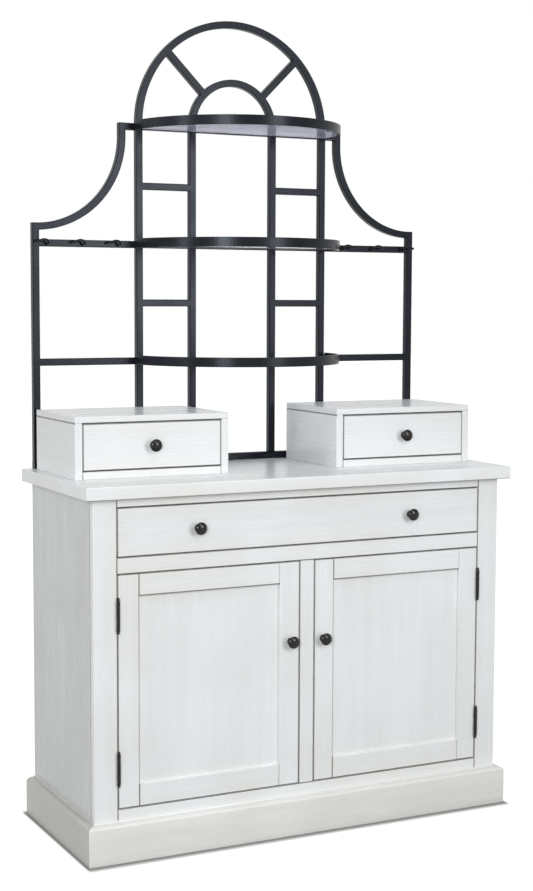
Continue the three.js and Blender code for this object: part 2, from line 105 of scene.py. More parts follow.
print("faces of a unit cube:", len(closed(np.array([
    [(x, y, z) for x, y in ((0, 0), (1, 0), (1, 1), (0, 1))] for z in (0, 1)]))[1]))

# %% [markdown]
# ### A piece in a part's place
# A piece is one mesh that stands for one part of the frame. It rides on that part's body, so that
# it moves with the part's joint, and takes the finish that it is given. Each form of it has a seed
# of its own, and the grain starts from there, so that no two boards match.

# %% Pieces
GOLDEN_SHARE = 0.618034
SEEDS_A_PIECE = 7
SEED_SPAN = 40

body_of = {n: b for b, members in frame["record"]["behaviour"]["bodies"].items() for n in members}
pieces_made = []


def box(node):
    """Lowest and highest corner of a node, as arrays."""
    low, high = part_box(node)
    return np.array(low), np.array(high)


def seed_numbers(count):
    """A number for each form: the share past the point of a whole number times the golden share,
    which spreads neighbours far apart."""
    start = len(pieces_made) * SEEDS_A_PIECE
    return ((start + np.arange(count)) * GOLDEN_SHARE % 1.0) * SEED_SPAN


def piece(name, node, forms, finish, sharp=None):
    """One mesh object from forms, in the place of a node and on its body. Where faces meet at
    more than sharp, in degrees, the edge isn't shaded over."""
    starts = np.cumsum([0] + [len(form.points) for form in forms])
    points = np.concatenate([form.points for form in forms])
    faces = [[c + start for c in ring] for form, start in zip(forms, starts) for ring in form.faces]
    mesh = bpy.data.meshes.new(name)
    mesh.from_pydata(points.tolist(), [], faces)
    mesh.polygons.foreach_set("use_smooth", [flag for form in forms for flag in form.smooth])
    for key in ("place", "half"):
        values = np.concatenate([getattr(form, key) for form in forms])
        layer = mesh.attributes.new(key, "FLOAT_VECTOR", "POINT")
        layer.data.foreach_set("vector", values.astype(np.float32).ravel())
    seeds = np.repeat(seed_numbers(len(forms)), np.diff(starts))
    layer = mesh.attributes.new("seed", "FLOAT", "POINT")
    layer.data.foreach_set("value", seeds.astype(np.float32))
    mesh.materials.append(finish)
    mesh.update()
    if sharp:
        mesh.set_sharp_from_angle(angle=math.radians(sharp))
    made = bpy.data.objects.new(name, mesh)
    bpy.context.scene.collection.objects.link(made)
    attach(made, body_of[node])
    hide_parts(node)
    pieces_made.append(name)


print("bodies:", sorted(set(body_of.values())))

# %% [markdown]
# ## Shader groups that several finishes share
# Wood, metal and bronze all need surface life, and some of it is the same work. A node group is
# built once and placed in each finish with its own values. Groups here give out only masks and
# heights; the shader itself, with its plain numbers, stays in each material, where it can be
# read and exported.

# %% Helpers for nodes


def feed(tree, node, inputs):
    """Gives a node's inputs plain values or other nodes' sockets."""
    for key, value in inputs.items():
        if isinstance(value, bpy.types.NodeSocket):
            tree.links.new(value, node.inputs[key])
        else:
            node.inputs[key].default_value = value
    return node


def add(tree, kind, inputs=None, **settings):
    """Adds a node, sets its own settings and feeds its inputs."""
    made = tree.nodes.new(kind)
    for key, value in settings.items():
        setattr(made, key, value)
    return feed(tree, made, inputs or {})


def new_group(name, vectors, numbers, outputs):
    """An empty shader group with vector inputs, number inputs with their usual values, and number
    outputs. Gives its tree, the sockets that come in, and the node that takes what goes out."""
    tree = bpy.data.node_groups.new(name, "ShaderNodeTree")
    for label in vectors:
        tree.interface.new_socket(label, in_out="INPUT", socket_type="NodeSocketVector")
    for label, value in numbers.items():
        socket = tree.interface.new_socket(label, in_out="INPUT", socket_type="NodeSocketFloat")
        socket.default_value = value
    for label in outputs:
        tree.interface.new_socket(label, in_out="OUTPUT", socket_type="NodeSocketFloat")
    return tree, tree.nodes.new("NodeGroupInput").outputs, tree.nodes.new("NodeGroupOutput")


def maths(tree, operation, *terms):
    """One step of arithmetic on numbers."""
    return add(tree, "ShaderNodeMath", dict(enumerate(terms)), operation=operation).outputs[0]


def vector_maths(tree, operation, *terms):
    """One step of arithmetic on vectors, axis by axis."""
    return add(tree, "ShaderNodeVectorMath", dict(enumerate(terms)), operation=operation).outputs[0]


def ramp(tree, value, low, high, to_low=0.0, to_high=1.0):
    """Maps the stretch low to high smoothly onto to_low to to_high."""
    sockets = {"Value": value, 1: low, 2: high, 3: to_low, 4: to_high}
    return add(tree, "ShaderNodeMapRange", sockets, interpolation_type="SMOOTHSTEP").outputs[0]


def blend_colour(tree, share, a, b):
    """Colour a where share is 0, colour b where it is 1. The node's colours are its sockets 6
    and 7, past those for numbers and vectors."""
    sockets = {0: share, 6: a, 7: b}
    return add(tree, "ShaderNodeMix", sockets, data_type="RGBA", blend_type="MIX").outputs[2]


def colour(red, green, blue):
    """A colour in linear light, with full alpha."""
    return (red, green, blue, 1.0)


print("node helpers ready")

# %% [markdown]
# ### Grain
# Brushed wood shows three things: long soft streaks, fine fibres, and short open pores. Each is
# a noise that is stretched along the board. The board's own place is read from the mesh with the
# grain along its first axis, so a rail runs sideways and a stile upright with one group.

# %% Grain group
STREAK_CYCLES = (2.2, 34.0, 34.0)
SWAY_CYCLES = (1.6, 4.0, 4.0)
FIBRE_CYCLES = (9.0, 420.0, 420.0)
PORE_CYCLES = (38.0, 900.0, 900.0)
SWAY = 50 * MM
STREAK_SPAN, FIBRE_SPAN, PORE_SPAN = (0.35, 0.68), (0.38, 0.66), (0.60, 0.72)
LOW_HEIGHT, FIBRE_HEIGHT, PORE_DEPTH = 0.4, 0.6, 0.5


def stretched_noise(tree, place, seed, cycles, detail, roughness=0.5):
    """Noise with so many cycles a metre along the grain and across it."""
    scaled = vector_maths(tree, "MULTIPLY", place, cycles)
    inputs = {"Vector": scaled, "W": seed, "Scale": 1.0, "Detail": detail, "Roughness": roughness}
    return add(tree, "ShaderNodeTexNoise", inputs, noise_dimensions="4D").outputs["Fac"]


def build_grain():
    """Streaks, fibres and pores, and their height together: low + fibre - pore. The place of the
    fibres and pores is moved aside by a slow noise, because real grain sways."""
    tree, given, out = new_group(
        "brushed grain", ["Place"], {"Seed": 0.0}, ["Streak", "Fibre", "Pore", "Height"])
    place, seed = given["Place"], given["Seed"]
    streak = stretched_noise(tree, place, seed, STREAK_CYCLES, 2.0)
    sway = stretched_noise(tree, place, seed, SWAY_CYCLES, 1.0)
    aside = add(tree, "ShaderNodeCombineXYZ", {"Y": maths(tree, "MULTIPLY", sway, SWAY)}).outputs[0]
    swayed = vector_maths(tree, "ADD", place, aside)
    fibre = stretched_noise(tree, swayed, seed, FIBRE_CYCLES, 3.0, 0.6)
    pore = ramp(tree, stretched_noise(tree, swayed, seed, PORE_CYCLES, 1.0), *PORE_SPAN)
    raised = maths(tree, "MULTIPLY_ADD", fibre, FIBRE_HEIGHT, LOW_HEIGHT)
    feed(tree, out, {
        "Streak": ramp(tree, streak, *STREAK_SPAN),
        "Fibre": ramp(tree, fibre, *FIBRE_SPAN),
        "Pore": pore,
        "Height": maths(tree, "SUBTRACT", raised, maths(tree, "MULTIPLY", pore, PORE_DEPTH)),
    })
    return tree


grain_group = build_grain()
print("grain group:", len(grain_group.nodes), "nodes")

# %% [markdown]
# ### Edges
# Where boards meet, a dark line runs along the edge: glaze that gathers there, and painted shade
# of the joint with it. How far a point lies from its board's nearest edge follows from its place
# alone: half size minus distance from the middle, on each axis. On a face one of the three is
# zero, so the second smallest is the way to the edge.

# %% Edge group
# Width of the dark line along joined edges, which is glaze and painted shade.
GLAZE_AND_SHADE_LINE = {"Width": 2.4 * MM, "Ragged": 0.5}
RAGGED_CYCLES = 60.0
FULL_SHARE = 0.25


def build_edge():
    """Mask that is 1 on a board's edges and 0 beyond the width. The second smallest of three
    distances is their sum less the smallest and the largest."""
    tree, given, out = new_group("board edge", ["Place", "Half"], GLAZE_AND_SHADE_LINE, ["Mask"])
    away = vector_maths(tree, "ABSOLUTE", given["Place"])
    left = vector_maths(tree, "SUBTRACT", given["Half"], away)
    x, y, z = add(tree, "ShaderNodeSeparateXYZ", {0: left}).outputs
    total, least, most = (
        maths(tree, step, maths(tree, step, x, y), z) for step in ("ADD", "MINIMUM", "MAXIMUM"))
    middle = maths(tree, "SUBTRACT", maths(tree, "SUBTRACT", total, least), most)
    inputs = {"Vector": given["Place"], "Scale": RAGGED_CYCLES, "Detail": 3.0}
    uneven = add(tree, "ShaderNodeTexNoise", inputs).outputs[0]
    swing = maths(tree, "MULTIPLY", maths(tree, "SUBTRACT", uneven, 0.5), given["Ragged"])
    reach = maths(tree, "MULTIPLY", given["Width"], maths(tree, "ADD", swing, 1.0))
    share = maths(tree, "DIVIDE", middle, reach)
    feed(tree, out, {"Mask": ramp(tree, share, FULL_SHARE, 1.0, 1.0, 0.0)})
    return tree


edge_group = build_edge()
print("edge group:", len(edge_group.nodes), "nodes")

# %% [markdown]
# ### Mottle
# No finish is even over a metre: wood darkens in clouds, powder coat has a fine skin like orange
# peel, rubbed bronze has patches. One group gives a slow cloud and a fine skin, and each finish
# sets their sizes.

# %% Mottle group
CLOUD_SPAN = (0.35, 0.65)


def build_mottle():
    """A slow cloud and a fine skin, both from noise on the object's own coordinates."""
    usual = {"Cloud Scale": 4.0, "Skin Scale": 400.0}
    tree, given, out = new_group("mottle", [], usual, ["Cloud", "Skin"])
    place = add(tree, "ShaderNodeTexCoord").outputs["Object"]
    inputs = {"Vector": place, "Scale": given["Cloud Scale"], "Detail": 3.0}
    cloud = add(tree, "ShaderNodeTexNoise", inputs).outputs["Fac"]
    inputs = {"Vector": place, "Scale": given["Skin Scale"], "Detail": 1.0}
    skin = add(tree, "ShaderNodeTexNoise", inputs).outputs["Fac"]
    feed(tree, out, {"Cloud": ramp(tree, cloud, *CLOUD_SPAN), "Skin": skin})
    return tree


mottle_group = build_mottle()
print("mottle group:", len(mottle_group.nodes), "nodes")

# %% [markdown]
# ## The finishes
# The wood is painted a cool white, brushed along the grain, and rubbed with a little warm grey
# glaze. It stays in the pores and along the edges, and a faint smear of it goes on inwards in
# places; the dark line along joined edges is that glaze and painted shade together. The same
# recipe with other values makes the bare boards inside. Both are satin: a broad soft gloss that
# shows the posts in the slab at a low angle. The case's sides took the wash less evenly, so they
# show more of their upright streaks, and their darker ground is painted shade. The boxes also
# have a darker ground, which is painted shade. The plinth has a warmer wash, and the darker grey
# ground on its two sides is painted shade.

# %% The wood recipe
SMEAR = 0.35
SMEAR_LINE = {"Width": 32 * MM, "Ragged": 1.5}
GRAIN_BUMP = {"Strength": 0.10, "Distance": 0.25 * MM}


def new_material(name):
    """A material, its tree and its shader."""
    made = bpy.data.materials.new(name)
    made.use_nodes = True
    return made, made.node_tree, made.node_tree.nodes["Principled BSDF"]


def wood_finish(name, ground, streak, pore, warm, glaze, strengths, roughness):
    """ground is mixed with streak, pore, warm and edge colours, one layer over another; the edge
    colour is glaze along joined edges together with painted shade there, and strengths are the
    greatest shares of streak, fibre, pore, cloud and edge in that order."""
    made, tree, shader = new_material(name)
    place = add(tree, "ShaderNodeAttribute", attribute_name="place").outputs["Vector"]
    half = add(tree, "ShaderNodeAttribute", attribute_name="half").outputs["Vector"]
    seed = add(tree, "ShaderNodeAttribute", attribute_name="seed").outputs["Fac"]
    grain = add(tree, "ShaderNodeGroup", {"Place": place, "Seed": seed}, node_tree=grain_group).outputs
    sizes = {"Place": place, "Half": half}
    edge = add(tree, "ShaderNodeGroup", sizes, node_tree=edge_group).outputs["Mask"]
    smear = add(tree, "ShaderNodeGroup", sizes | SMEAR_LINE, node_tree=edge_group).outputs["Mask"]
    cloud = add(tree, "ShaderNodeGroup", node_tree=mottle_group).outputs["Cloud"]
    tone = ground
    for mask, strength, paint in (
        (grain["Streak"], strengths[0], streak),
        (grain["Fibre"], strengths[1], streak),
        (grain["Pore"], strengths[2], pore),
        (cloud, strengths[3], streak),
        (maths(tree, "MULTIPLY", cloud, smear), SMEAR, warm),
        # edge: a dark line of glaze and painted shade along joined edges
        (edge, strengths[4], glaze),
    ):
        tone = blend_colour(tree, maths(tree, "MULTIPLY", mask, strength), tone, paint)
    bump = add(tree, "ShaderNodeBump", {"Height": grain["Height"]} | GRAIN_BUMP).outputs[0]
    gloss = ramp(tree, grain["Fibre"], 0.0, 1.0, *roughness)
    feed(tree, shader, {"Base Color": tone, "Roughness": gloss, "Normal": bump})
    return made


print("the wood recipe has six layers over its ground")

# %% [markdown]
# ### Five washes and a bare board
# What differs between them is only numbers: the same paint on the fronts, a darker ground on the
# boxes, the case's sides and the plinth's sides, which is painted shade, a warmer wash on the
# plinth's front, and no paint at all on the boards inside.

# %% Wood finishes
WASH = {
    "ground": colour(0.80, 0.835, 0.85),
    "streak": colour(0.66, 0.67, 0.66),
    "pore": colour(0.50, 0.49, 0.46),
    "warm": colour(0.72, 0.703, 0.635),
    # The dark line along joined edges: glaze with painted shade.
    "glaze": colour(0.15, 0.145, 0.135),
    "strengths": (0.22, 0.07, 0.08, 0.25, 1.0),
    "roughness": (0.25, 0.31),
}
# The boxes' darker ground is painted shade.
BOX_PAINTED_SHADE_WASH = WASH | {"ground": colour(0.735, 0.765, 0.78)}
# The case's sides: stronger streaks, and a darker ground that is painted shade.
STREAKED_SIDE_PAINTED_SHADE_WASH = WASH | {
    "ground": colour(0.65, 0.69, 0.705),
    "streak": colour(0.51, 0.53, 0.525),
    "strengths": (0.50, 0.50, 0.50, 0.55, 1.0),
}
WARM_WASH = WASH | {
    "ground": colour(0.79, 0.795, 0.78),
    "streak": colour(0.63, 0.625, 0.60),
    "strengths": (0.35, 0.35, 0.35, 0.30, 1.0),
}
# The plinth's sides: a darker grey ground that is painted shade.
PLINTH_SIDE_PAINTED_SHADE_WASH = WASH | {
    "ground": colour(0.52, 0.52, 0.50),
    "streak": colour(0.43, 0.425, 0.40),
    "strengths": (0.40, 0.40, 0.40, 0.40, 1.0),
}
BARE_BOARD = {
    "ground": colour(0.64, 0.56, 0.45),
    "streak": colour(0.50, 0.41, 0.30),
    "pore": colour(0.36, 0.28, 0.19),
    "warm": colour(0.56, 0.47, 0.36),
    "glaze": colour(0.50, 0.42, 0.32),
    "strengths": (0.5, 0.5, 0.45, 0.2, 0.3),
    "roughness": (0.5, 0.65),
}
whitewash = wood_finish("whitewashed wood", **WASH)
box_wash_painted_shade = wood_finish("box whitewash", **BOX_PAINTED_SHADE_WASH)
streaked_side_wash_painted_shade = wood_finish("streaked whitewash", **STREAKED_SIDE_PAINTED_SHADE_WASH)
warm_wash = wood_finish("warm whitewash", **WARM_WASH)
plinth_side_wash_painted_shade = wood_finish("grey whitewash", **PLINTH_SIDE_PAINTED_SHADE_WASH)
inner_wood = wood_finish("inner board", **BARE_BOARD)
print("wood finishes:", whitewash.name, inner_wood.name)

# %% [markdown]
# ## Metal and glass
# The rack is powder coated: a charcoal that is almost black, satin, with a skin too fine to see
# but for the way that it softens a highlight. Knobs and hinges are darker, a bronze rubbed
# browner on patches. The shelves are a smoky glass: it dims what stands behind it, and its faces
# have a faint milky violet, a painted reflection that stands in for what plate glass mirrors at
# a low angle, over a slight tint.

# %% Metal and glass finishes
SKIN_HEIGHT = 0.01 * MM
GLASS_CLOUD = 9.0


def metal_finish(name, dark, light, gloss, tint, roughness, cloud_scale, skin_scale):
    """Base colour and roughness drift with a cloud; the fine skin only bends the normal. gloss is
    the strength of the mirror part, where 0.5 is that of clear lacquer, and tint its colour."""
    made, tree, shader = new_material(name)
    scales = {"Cloud Scale": cloud_scale, "Skin Scale": skin_scale}
    mottle = add(tree, "ShaderNodeGroup", scales, node_tree=mottle_group).outputs
    bump = add(tree, "ShaderNodeBump", {"Height": mottle["Skin"], "Distance": SKIN_HEIGHT})
    feed(tree, shader, {
        "Base Color": blend_colour(tree, mottle["Cloud"], dark, light),
        "Roughness": ramp(tree, mottle["Cloud"], 0.0, 1.0, *roughness),
        "Specular IOR Level": gloss,
        "Specular Tint": tint,
        "Normal": bump.outputs[0],
    })
    return made


def glass_with_painted_reflection(name, clear, cloudy, passed, coat):
    """Tinted glass with a slight milkiness: passed is the share of the light that goes on through
    a face, and the rest scatters there in a milky violet, which is a painted reflection in place
    of what plate glass mirrors at a low angle. Its own bending is almost none, as in a thin sheet,
    where what bends on the way in bends back on the way out, so it mirrors almost nothing itself."""
    made, tree, shader = new_material(name)
    mottle = add(tree, "ShaderNodeGroup", {"Cloud Scale": GLASS_CLOUD}, node_tree=mottle_group)
    feed(tree, shader, {
        "Base Color": blend_colour(tree, mottle.outputs["Cloud"], clear, cloudy),
        "Transmission Weight": passed,
        "Roughness": 0.0,
        "IOR": 1.004,
        "Coat Weight": coat,
    })
    return made


black_metal = metal_finish(
    "black powder coat", colour(0.005, 0.006, 0.008), colour(0.008, 0.010, 0.014),
    0.18, colour(0.80, 0.88, 1.0), (0.24, 0.30), 7.0, 1400.0)
bronze = metal_finish(
    "dark bronze", colour(0.002, 0.002, 0.002), colour(0.010, 0.008, 0.006),
    0.32, colour(1, 1, 1), (0.08, 0.14), 90.0, 900.0)
# The milky violet is a painted reflection over a slight tint.
shelf_glass = glass_with_painted_reflection(
    "shelf glass", colour(0.82, 0.83, 0.93), colour(0.76, 0.77, 0.87), 0.53, 0.05)
print("metal and glass:", black_metal.name, bronze.name, shelf_glass.name)

# %% [markdown]
# ## Boards
# Most of the sideboard is boards. A board could be a cube with a Bevel modifier, but there is a
# neater way: take the grid of a unit sphere and pull its eight octants apart until they sit at
# the board's corners. What opens between the octants are the flat faces, the octants' borders
# become the eased edges, and the octants themselves the rounded corners. The box of the glaze and
# painted shade tells the finish which edges carry their dark line.

# %% The board form
EDGE_STEPS = 4
BARE = 20 * MM
OVERHANG_PAINTED_SHADE = 1.4 * MM
GRAIN_ORDER = {"x": (0, 1, 2), "y": (1, 2, 0), "z": (2, 0, 1)}


def glaze_box(low, high, bare):
    """The box of the edge line, which is glaze and painted shade: the board's own box, pushed out on
    its bare sides, such as "-x+z", where no line lies, and in on sides in capitals, such as "+Z",
    where a wider line of painted shade lies under an overhang."""
    sides = [[(f"{sign}{axis}" in bare, f"{sign}{axis.upper()}" in bare) for axis in "xyz"]
             for sign in "-+"]
    reach = np.array(sides) @ np.array([BARE, -OVERHANG_PAINTED_SHADE])
    return low - reach[0], high + reach[1]


def board(low, high, grain, edge, bare=""):
    """A sphere's grid pulled apart: point = middle + sign * (half - edge) + edge * direction,
    where sign is that of the direction's octant. Rows run from the lower pole to the upper."""
    low, high = np.asarray(low, float), np.asarray(high, float)
    middle, half = (low + high) / 2, (high - low) / 2
    quarter = np.linspace(0, math.pi / 2, EDGE_STEPS)
    turn = (quarter + np.arange(4)[:, None] * math.pi / 2).ravel()
    rise = np.concatenate([quarter - math.pi / 2, quarter])
    turn, rise = np.meshgrid(turn, rise)
    direction = np.stack([np.cos(rise) * np.cos(turn), np.cos(rise) * np.sin(turn), np.sin(rise)], -1)
    sign_x, sign_y = np.repeat([[1, -1, -1, 1], [1, 1, -1, -1]], EDGE_STEPS, axis=1)
    sign_z = np.repeat([-1, 1], EDGE_STEPS)[:, None]
    sign = np.stack(np.broadcast_arrays(sign_x, sign_y, sign_z), -1)
    points = middle + sign * (half - edge) + edge * direction
    smooth = np.ones((2 * EDGE_STEPS - 1, 4 * EDGE_STEPS), bool)
    smooth[EDGE_STEPS - 1, EDGE_STEPS - 1::EDGE_STEPS] = False
    return board_form(closed(points, smooth), grain, *glaze_box(low, high, bare))


def board_form(shape, grain, low, high):
    """A shape with its wood's own places: from the middle of the glaze's box, grain first."""
    points, faces, smooth = shape
    order = list(GRAIN_ORDER[grain])
    half = ((high - low) / 2)[order]
    place = (points - (low + high) / 2)[:, order]
    return Form(points, faces, smooth, place, np.tile(half, (len(points), 1)))


print("a board has", len(board((0, 0, 0), (1, 1, 1), "x", 10 * MM).faces), "faces")

# %% [markdown]
# ## The case
# The case is plain joinery: stiles stand the full height, rails run between them, side panels
# meet the stiles from behind. Each takes its box from the frame, and only its finish, its grain,
# the softness of its edge in millimetres and its bare and deep sides are chosen here. Two eased
# edges side by side, with glaze and painted shade between them, make the fine dark joint lines
# of a real face frame. A deep side, in capitals, has a wider line of painted shade, where it lies
# under an overhang. An edge that meets no other board is bare: no line is painted on it, and it
# stays light.

# %% Case boards
# Sides in capitals get a wider line of painted shade: the stiles and the top rail under the slab, the
# box drawer fronts under the box tops.
BOARDS = {
    "top_slab": (whitewash, "x", 2.6, "-x+x+z"),
    "left_side_panel": (streaked_side_wash_painted_shade, "z", 1.3, "+y"),
    "right_side_panel": (streaked_side_wash_painted_shade, "z", 1.3, "+y"),
    "left_stile": (whitewash, "z", 1.4, "-x+Z"),
    "right_stile": (whitewash, "z", 1.4, "+x+Z"),
    "top_rail": (whitewash, "x", 1.4, "+Z"),
    "middle_rail": (whitewash, "x", 1.4, ""),
    "bottom_rail": (whitewash, "x", 1.4, "-z"),
    "mullion": (whitewash, "z", 1.4, ""),
    "left_box_top": (box_wash_painted_shade, "x", 1.6, "-x+x+y+z-z"),
    "right_box_top": (box_wash_painted_shade, "x", 1.6, "-x+x+y+z-z"),
    "wide_drawer_front": (whitewash, "x", 1.6, ""),
    "left_box_drawer_front": (box_wash_painted_shade, "x", 1.6, "+Z"),
    "right_box_drawer_front": (box_wash_painted_shade, "x", 1.6, "+Z"),
    "left_door_panel": (whitewash, "z", 0.5, ""),
    "right_door_panel": (whitewash, "z", 0.5, ""),
    "back_panel": (inner_wood, "z", 0.5, ""),
    "bottom_panel": (inner_wood, "x", 0.8, ""),
    "inner_shelf": (inner_wood, "x", 1.0, ""),
}

for node, (wood, grain, edge, bare) in BOARDS.items():
    piece(f"{node}_board", node, [board(*box(node), grain, edge * MM, bare)], wood)
print("boards:", len(BOARDS))

# %% [markdown]
# ## The drawer bearer
# Under the wide drawer lies a board with a guide at each end, which keeps the tray straight. The
# guides fill the bearer's height above the board, from the stile's inner face outwards. This and
# all that follows in wood is several boards in one box, so the box is cut across at a few planes,
# and a table says between which planes each board lies.

# %% Drawer bearer
BEARER_BOARD = 18 * MM
GUIDE = float(box("left_stile")[1][0] - box("drawer_bearer")[0][0])
ROUGH_EDGE = 0.8 * MM
BEARER_MEMBERS = [
    ("03 01 01", "x", ROUGH_EDGE, ""),
    ("01 01 12", "y", ROUGH_EDGE, ""),
    ("23 01 12", "y", ROUGH_EDGE, ""),
]


def cut_boards(node, wood, cuts, members):
    """Boards in a node's box. Cuts are ways in on each axis, from the low face or, where they are
    negative, from the high one. The spans "03 01 12" are planes 0 to 3 on x and so on."""
    low, high = box(node)
    planes = [[low[i], *(cut + (low if cut > 0 else high)[i] for cut in cuts[i]), high[i]]
              for i in range(3)]
    forms = []
    for spans, grain, edge, bare in members:
        ends = [[planes[i][int(k)] for k in span] for i, span in enumerate(spans.split())]
        forms.append(board(*zip(*ends), grain, edge, bare))
    piece(f"{node}_boards", node, forms, wood)


cut_boards("drawer_bearer", inner_wood, ((GUIDE, -GUIDE), (), (BEARER_BOARD,)), BEARER_MEMBERS)
print("bearer under the drawer at", round(float(box("drawer_bearer")[0][2]), 4))

# %% [markdown]
# ## Doors
# A door is a frame and a panel. The two stiles run the full height with the rails between them,
# so the joint lines are upright, as on the face frame. The panel already lies in its groove; the
# frame's members are four boards whose width is the one size that the frame's box can't tell.

# %% Door frames
SIDES = {"left": -1, "right": 1}
DOOR_MEMBER = 55.5 * MM
DOOR_EDGE = 1.5 * MM
DOOR_CUTS = ((DOOR_MEMBER, -DOOR_MEMBER), (), (DOOR_MEMBER, -DOOR_MEMBER))
# The top rail's "-Z" gives it a wider line of painted shade along its lower edge, over the panel.
DOOR_MEMBERS = [
    ("01 01 03", "z", DOOR_EDGE, ""),
    ("23 01 03", "z", DOOR_EDGE, "-x"),
    ("12 01 01", "x", DOOR_EDGE, "+z"),
    ("12 01 23", "x", DOOR_EDGE, "-Z"),
]

for side in SIDES:
    cut_boards(f"{side}_door_frame", whitewash, DOOR_CUTS, DOOR_MEMBERS)
print("door members", DOOR_MEMBER, "m wide")

# %% [markdown]
# ## Drawer boxes and trays
# A small box is two sides, a floor whose front edge shows under the drawer, and a back let in
# between. A tray is four walls on a floor: the long walls run past the short ones.

# %% Carcasses and trays
BOX_SIDE, BOX_FLOOR, BOX_BACK = 20 * MM, 20.4 * MM, 10 * MM
BOX_EDGE = 1.3 * MM
TRAY_FLOOR = 8 * MM
TRAY_EDGE, TRAY_FLOOR_EDGE = 1.0 * MM, 0.3 * MM
TRAY_WALLS = {"wide_drawer": 12 * MM, "left_box_drawer": 10 * MM, "right_box_drawer": 10 * MM}
BOX_CUTS = ((BOX_SIDE, -BOX_SIDE), (-BOX_BACK,), (BOX_FLOOR,))
# The box sides' "+Z" gives them a wider line of painted shade under the box top.
BOX_MEMBERS = [
    ("01 02 02", "y", BOX_EDGE, "-y+Z-z"),
    ("23 02 02", "y", BOX_EDGE, "-y+Z-z"),
    ("12 02 01", "x", BOX_EDGE, "-z"),
    ("12 12 12", "x", ROUGH_EDGE, ""),
]
TRAY_MEMBERS = [
    ("01 03 02", "y", TRAY_EDGE, ""),
    ("23 03 02", "y", TRAY_EDGE, ""),
    ("12 01 02", "x", TRAY_EDGE, ""),
    ("12 23 02", "x", TRAY_EDGE, ""),
    ("12 12 01", "x", TRAY_FLOOR_EDGE, ""),
]

for side in SIDES:
    cut_boards(f"{side}_box_carcass", box_wash_painted_shade, BOX_CUTS, BOX_MEMBERS)
for drawer, wall in TRAY_WALLS.items():
    cuts = ((wall, -wall), (wall, -wall), (TRAY_FLOOR,))
    cut_boards(f"{drawer}_tray", inner_wood, cuts, TRAY_MEMBERS)
print("trays:", sorted(TRAY_WALLS))

# %% [markdown]
# ## The plinth
# A plinth board with a moulded cap runs round the front and both sides and is mitred at the
# front corners. The cap is an ovolo, a fine groove and a bead. One profile, drawn as distance
# out from the case and height, is carried along the three runs. At a corner every point of it
# goes out the same distance both ways, which is what a mitre is, and the last stretch turns in a
# small quarter circle so that the corner isn't sharp.

# %% Plinth profile
PLINTH_OUT = 22 * MM
PLINTH_TOP = 91 * MM
CAP_BEAD, CAP_LEDGE, GROOVE = 3 * MM, 1 * MM, 0.8 * MM
FOOT_EASE = 2.4 * MM


def arc(centre, radius, start, end, steps):
    """Points on a circle from one angle to another, in degrees."""
    angle = np.radians(np.linspace(start, end, steps))
    return np.stack([centre[0] + radius * np.cos(angle), centre[1] + radius * np.sin(angle)], -1)


def plinth_profile(top):
    """Out and up: eased foot, face, quarter ellipse of the ovolo, groove, bead against the case."""
    ledge = CAP_BEAD + CAP_LEDGE
    ovolo = arc((0, 0), 1, 0, 90, 11) * (PLINTH_OUT - ledge, top - CAP_BEAD - PLINTH_TOP)
    return np.concatenate([
        [(0, 0)],
        arc((PLINTH_OUT - FOOT_EASE, FOOT_EASE), FOOT_EASE, 270, 360, 5),
        ovolo + (ledge, PLINTH_TOP),
        [(CAP_BEAD + CAP_LEDGE / 2, top - CAP_BEAD - GROOVE)],
        arc((0, top - CAP_BEAD), CAP_BEAD, 0, 90, 7),
    ])


print("plinth profile:", len(plinth_profile(box("plinth_front")[1][2])), "points")

# %% [markdown]
# ### Mitres from stations
# A station is a place on the run that says where a point goes in plan when it lies so far out.
# Square ends and the steps of a rounded mitre are stations alike, so one function makes all runs.

# %% Plinth runs
CORNER_ROUND = 1.6 * MM
CORNER_STEPS = 4
PLINTH_SHARP = 35


def corner_station(corner, angle):
    """Plan of a mitred corner that is rounded: both ways out by (out - round), then round times
    the direction at the angle, which runs from 0 (side's face) to 90 (front's face)."""
    side, turn = math.copysign(1, corner[0]), math.radians(angle)

    def plan(out):
        round_off = np.minimum(CORNER_ROUND, out)
        x = corner[0] + side * (out - round_off + round_off * math.cos(turn))
        y = corner[1] - (out - round_off + round_off * math.sin(turn))
        return np.column_stack([x, y])

    return plan


def end_station(corner, back):
    """Plan of a square end at the back of the case."""
    side = math.copysign(1, corner[0])
    return lambda out: np.column_stack([corner[0] + side * out, np.full(len(out), back)])


def plinth_run(stations, profile, grain):
    """Rows are stations, columns are profile points: point = station(out), height. The glaze's
    box is wider than the run on all sides, because its edges are rubbed clean."""
    shape = closed(np.stack([
        np.column_stack([at(profile[:, 0]), profile[:, 1]]) for at in stations]))
    return board_form(shape, grain, shape[0].min(0) - BARE, shape[0].max(0) + BARE)


def plinth_forms():
    """Front run between the two mitres, and a side run from each mitre to the back."""
    case, front = box("left_side_panel")[0][0], box("left_stile")[0][1]
    back = box("plinth_left")[1][1]
    profile = plinth_profile(box("plinth_front")[1][2])
    left, right = (case, front), (-case, front)
    to_middle, from_middle = np.linspace(45, 0, CORNER_STEPS), np.linspace(45, 90, CORNER_STEPS)
    across = [corner_station(left, a) for a in from_middle]
    across += [corner_station(right, a) for a in from_middle[::-1]]
    forms = {"front": plinth_run(across, profile, "x")}
    for name, corner in (("left", left), ("right", right)):
        stations = [corner_station(corner, a) for a in to_middle] + [end_station(corner, back)]
        forms[name] = plinth_run(stations, profile, "y")
    return forms


for name, form in plinth_forms().items():
    # The plinth's sides take the darker wash, which is painted shade.
    wood = warm_wash if name == "front" else plinth_side_wash_painted_shade
    piece(f"plinth_{name}_moulding", f"plinth_{name}", [form], wood, PLINTH_SHARP)
print("plinth stands out", PLINTH_OUT, "m")

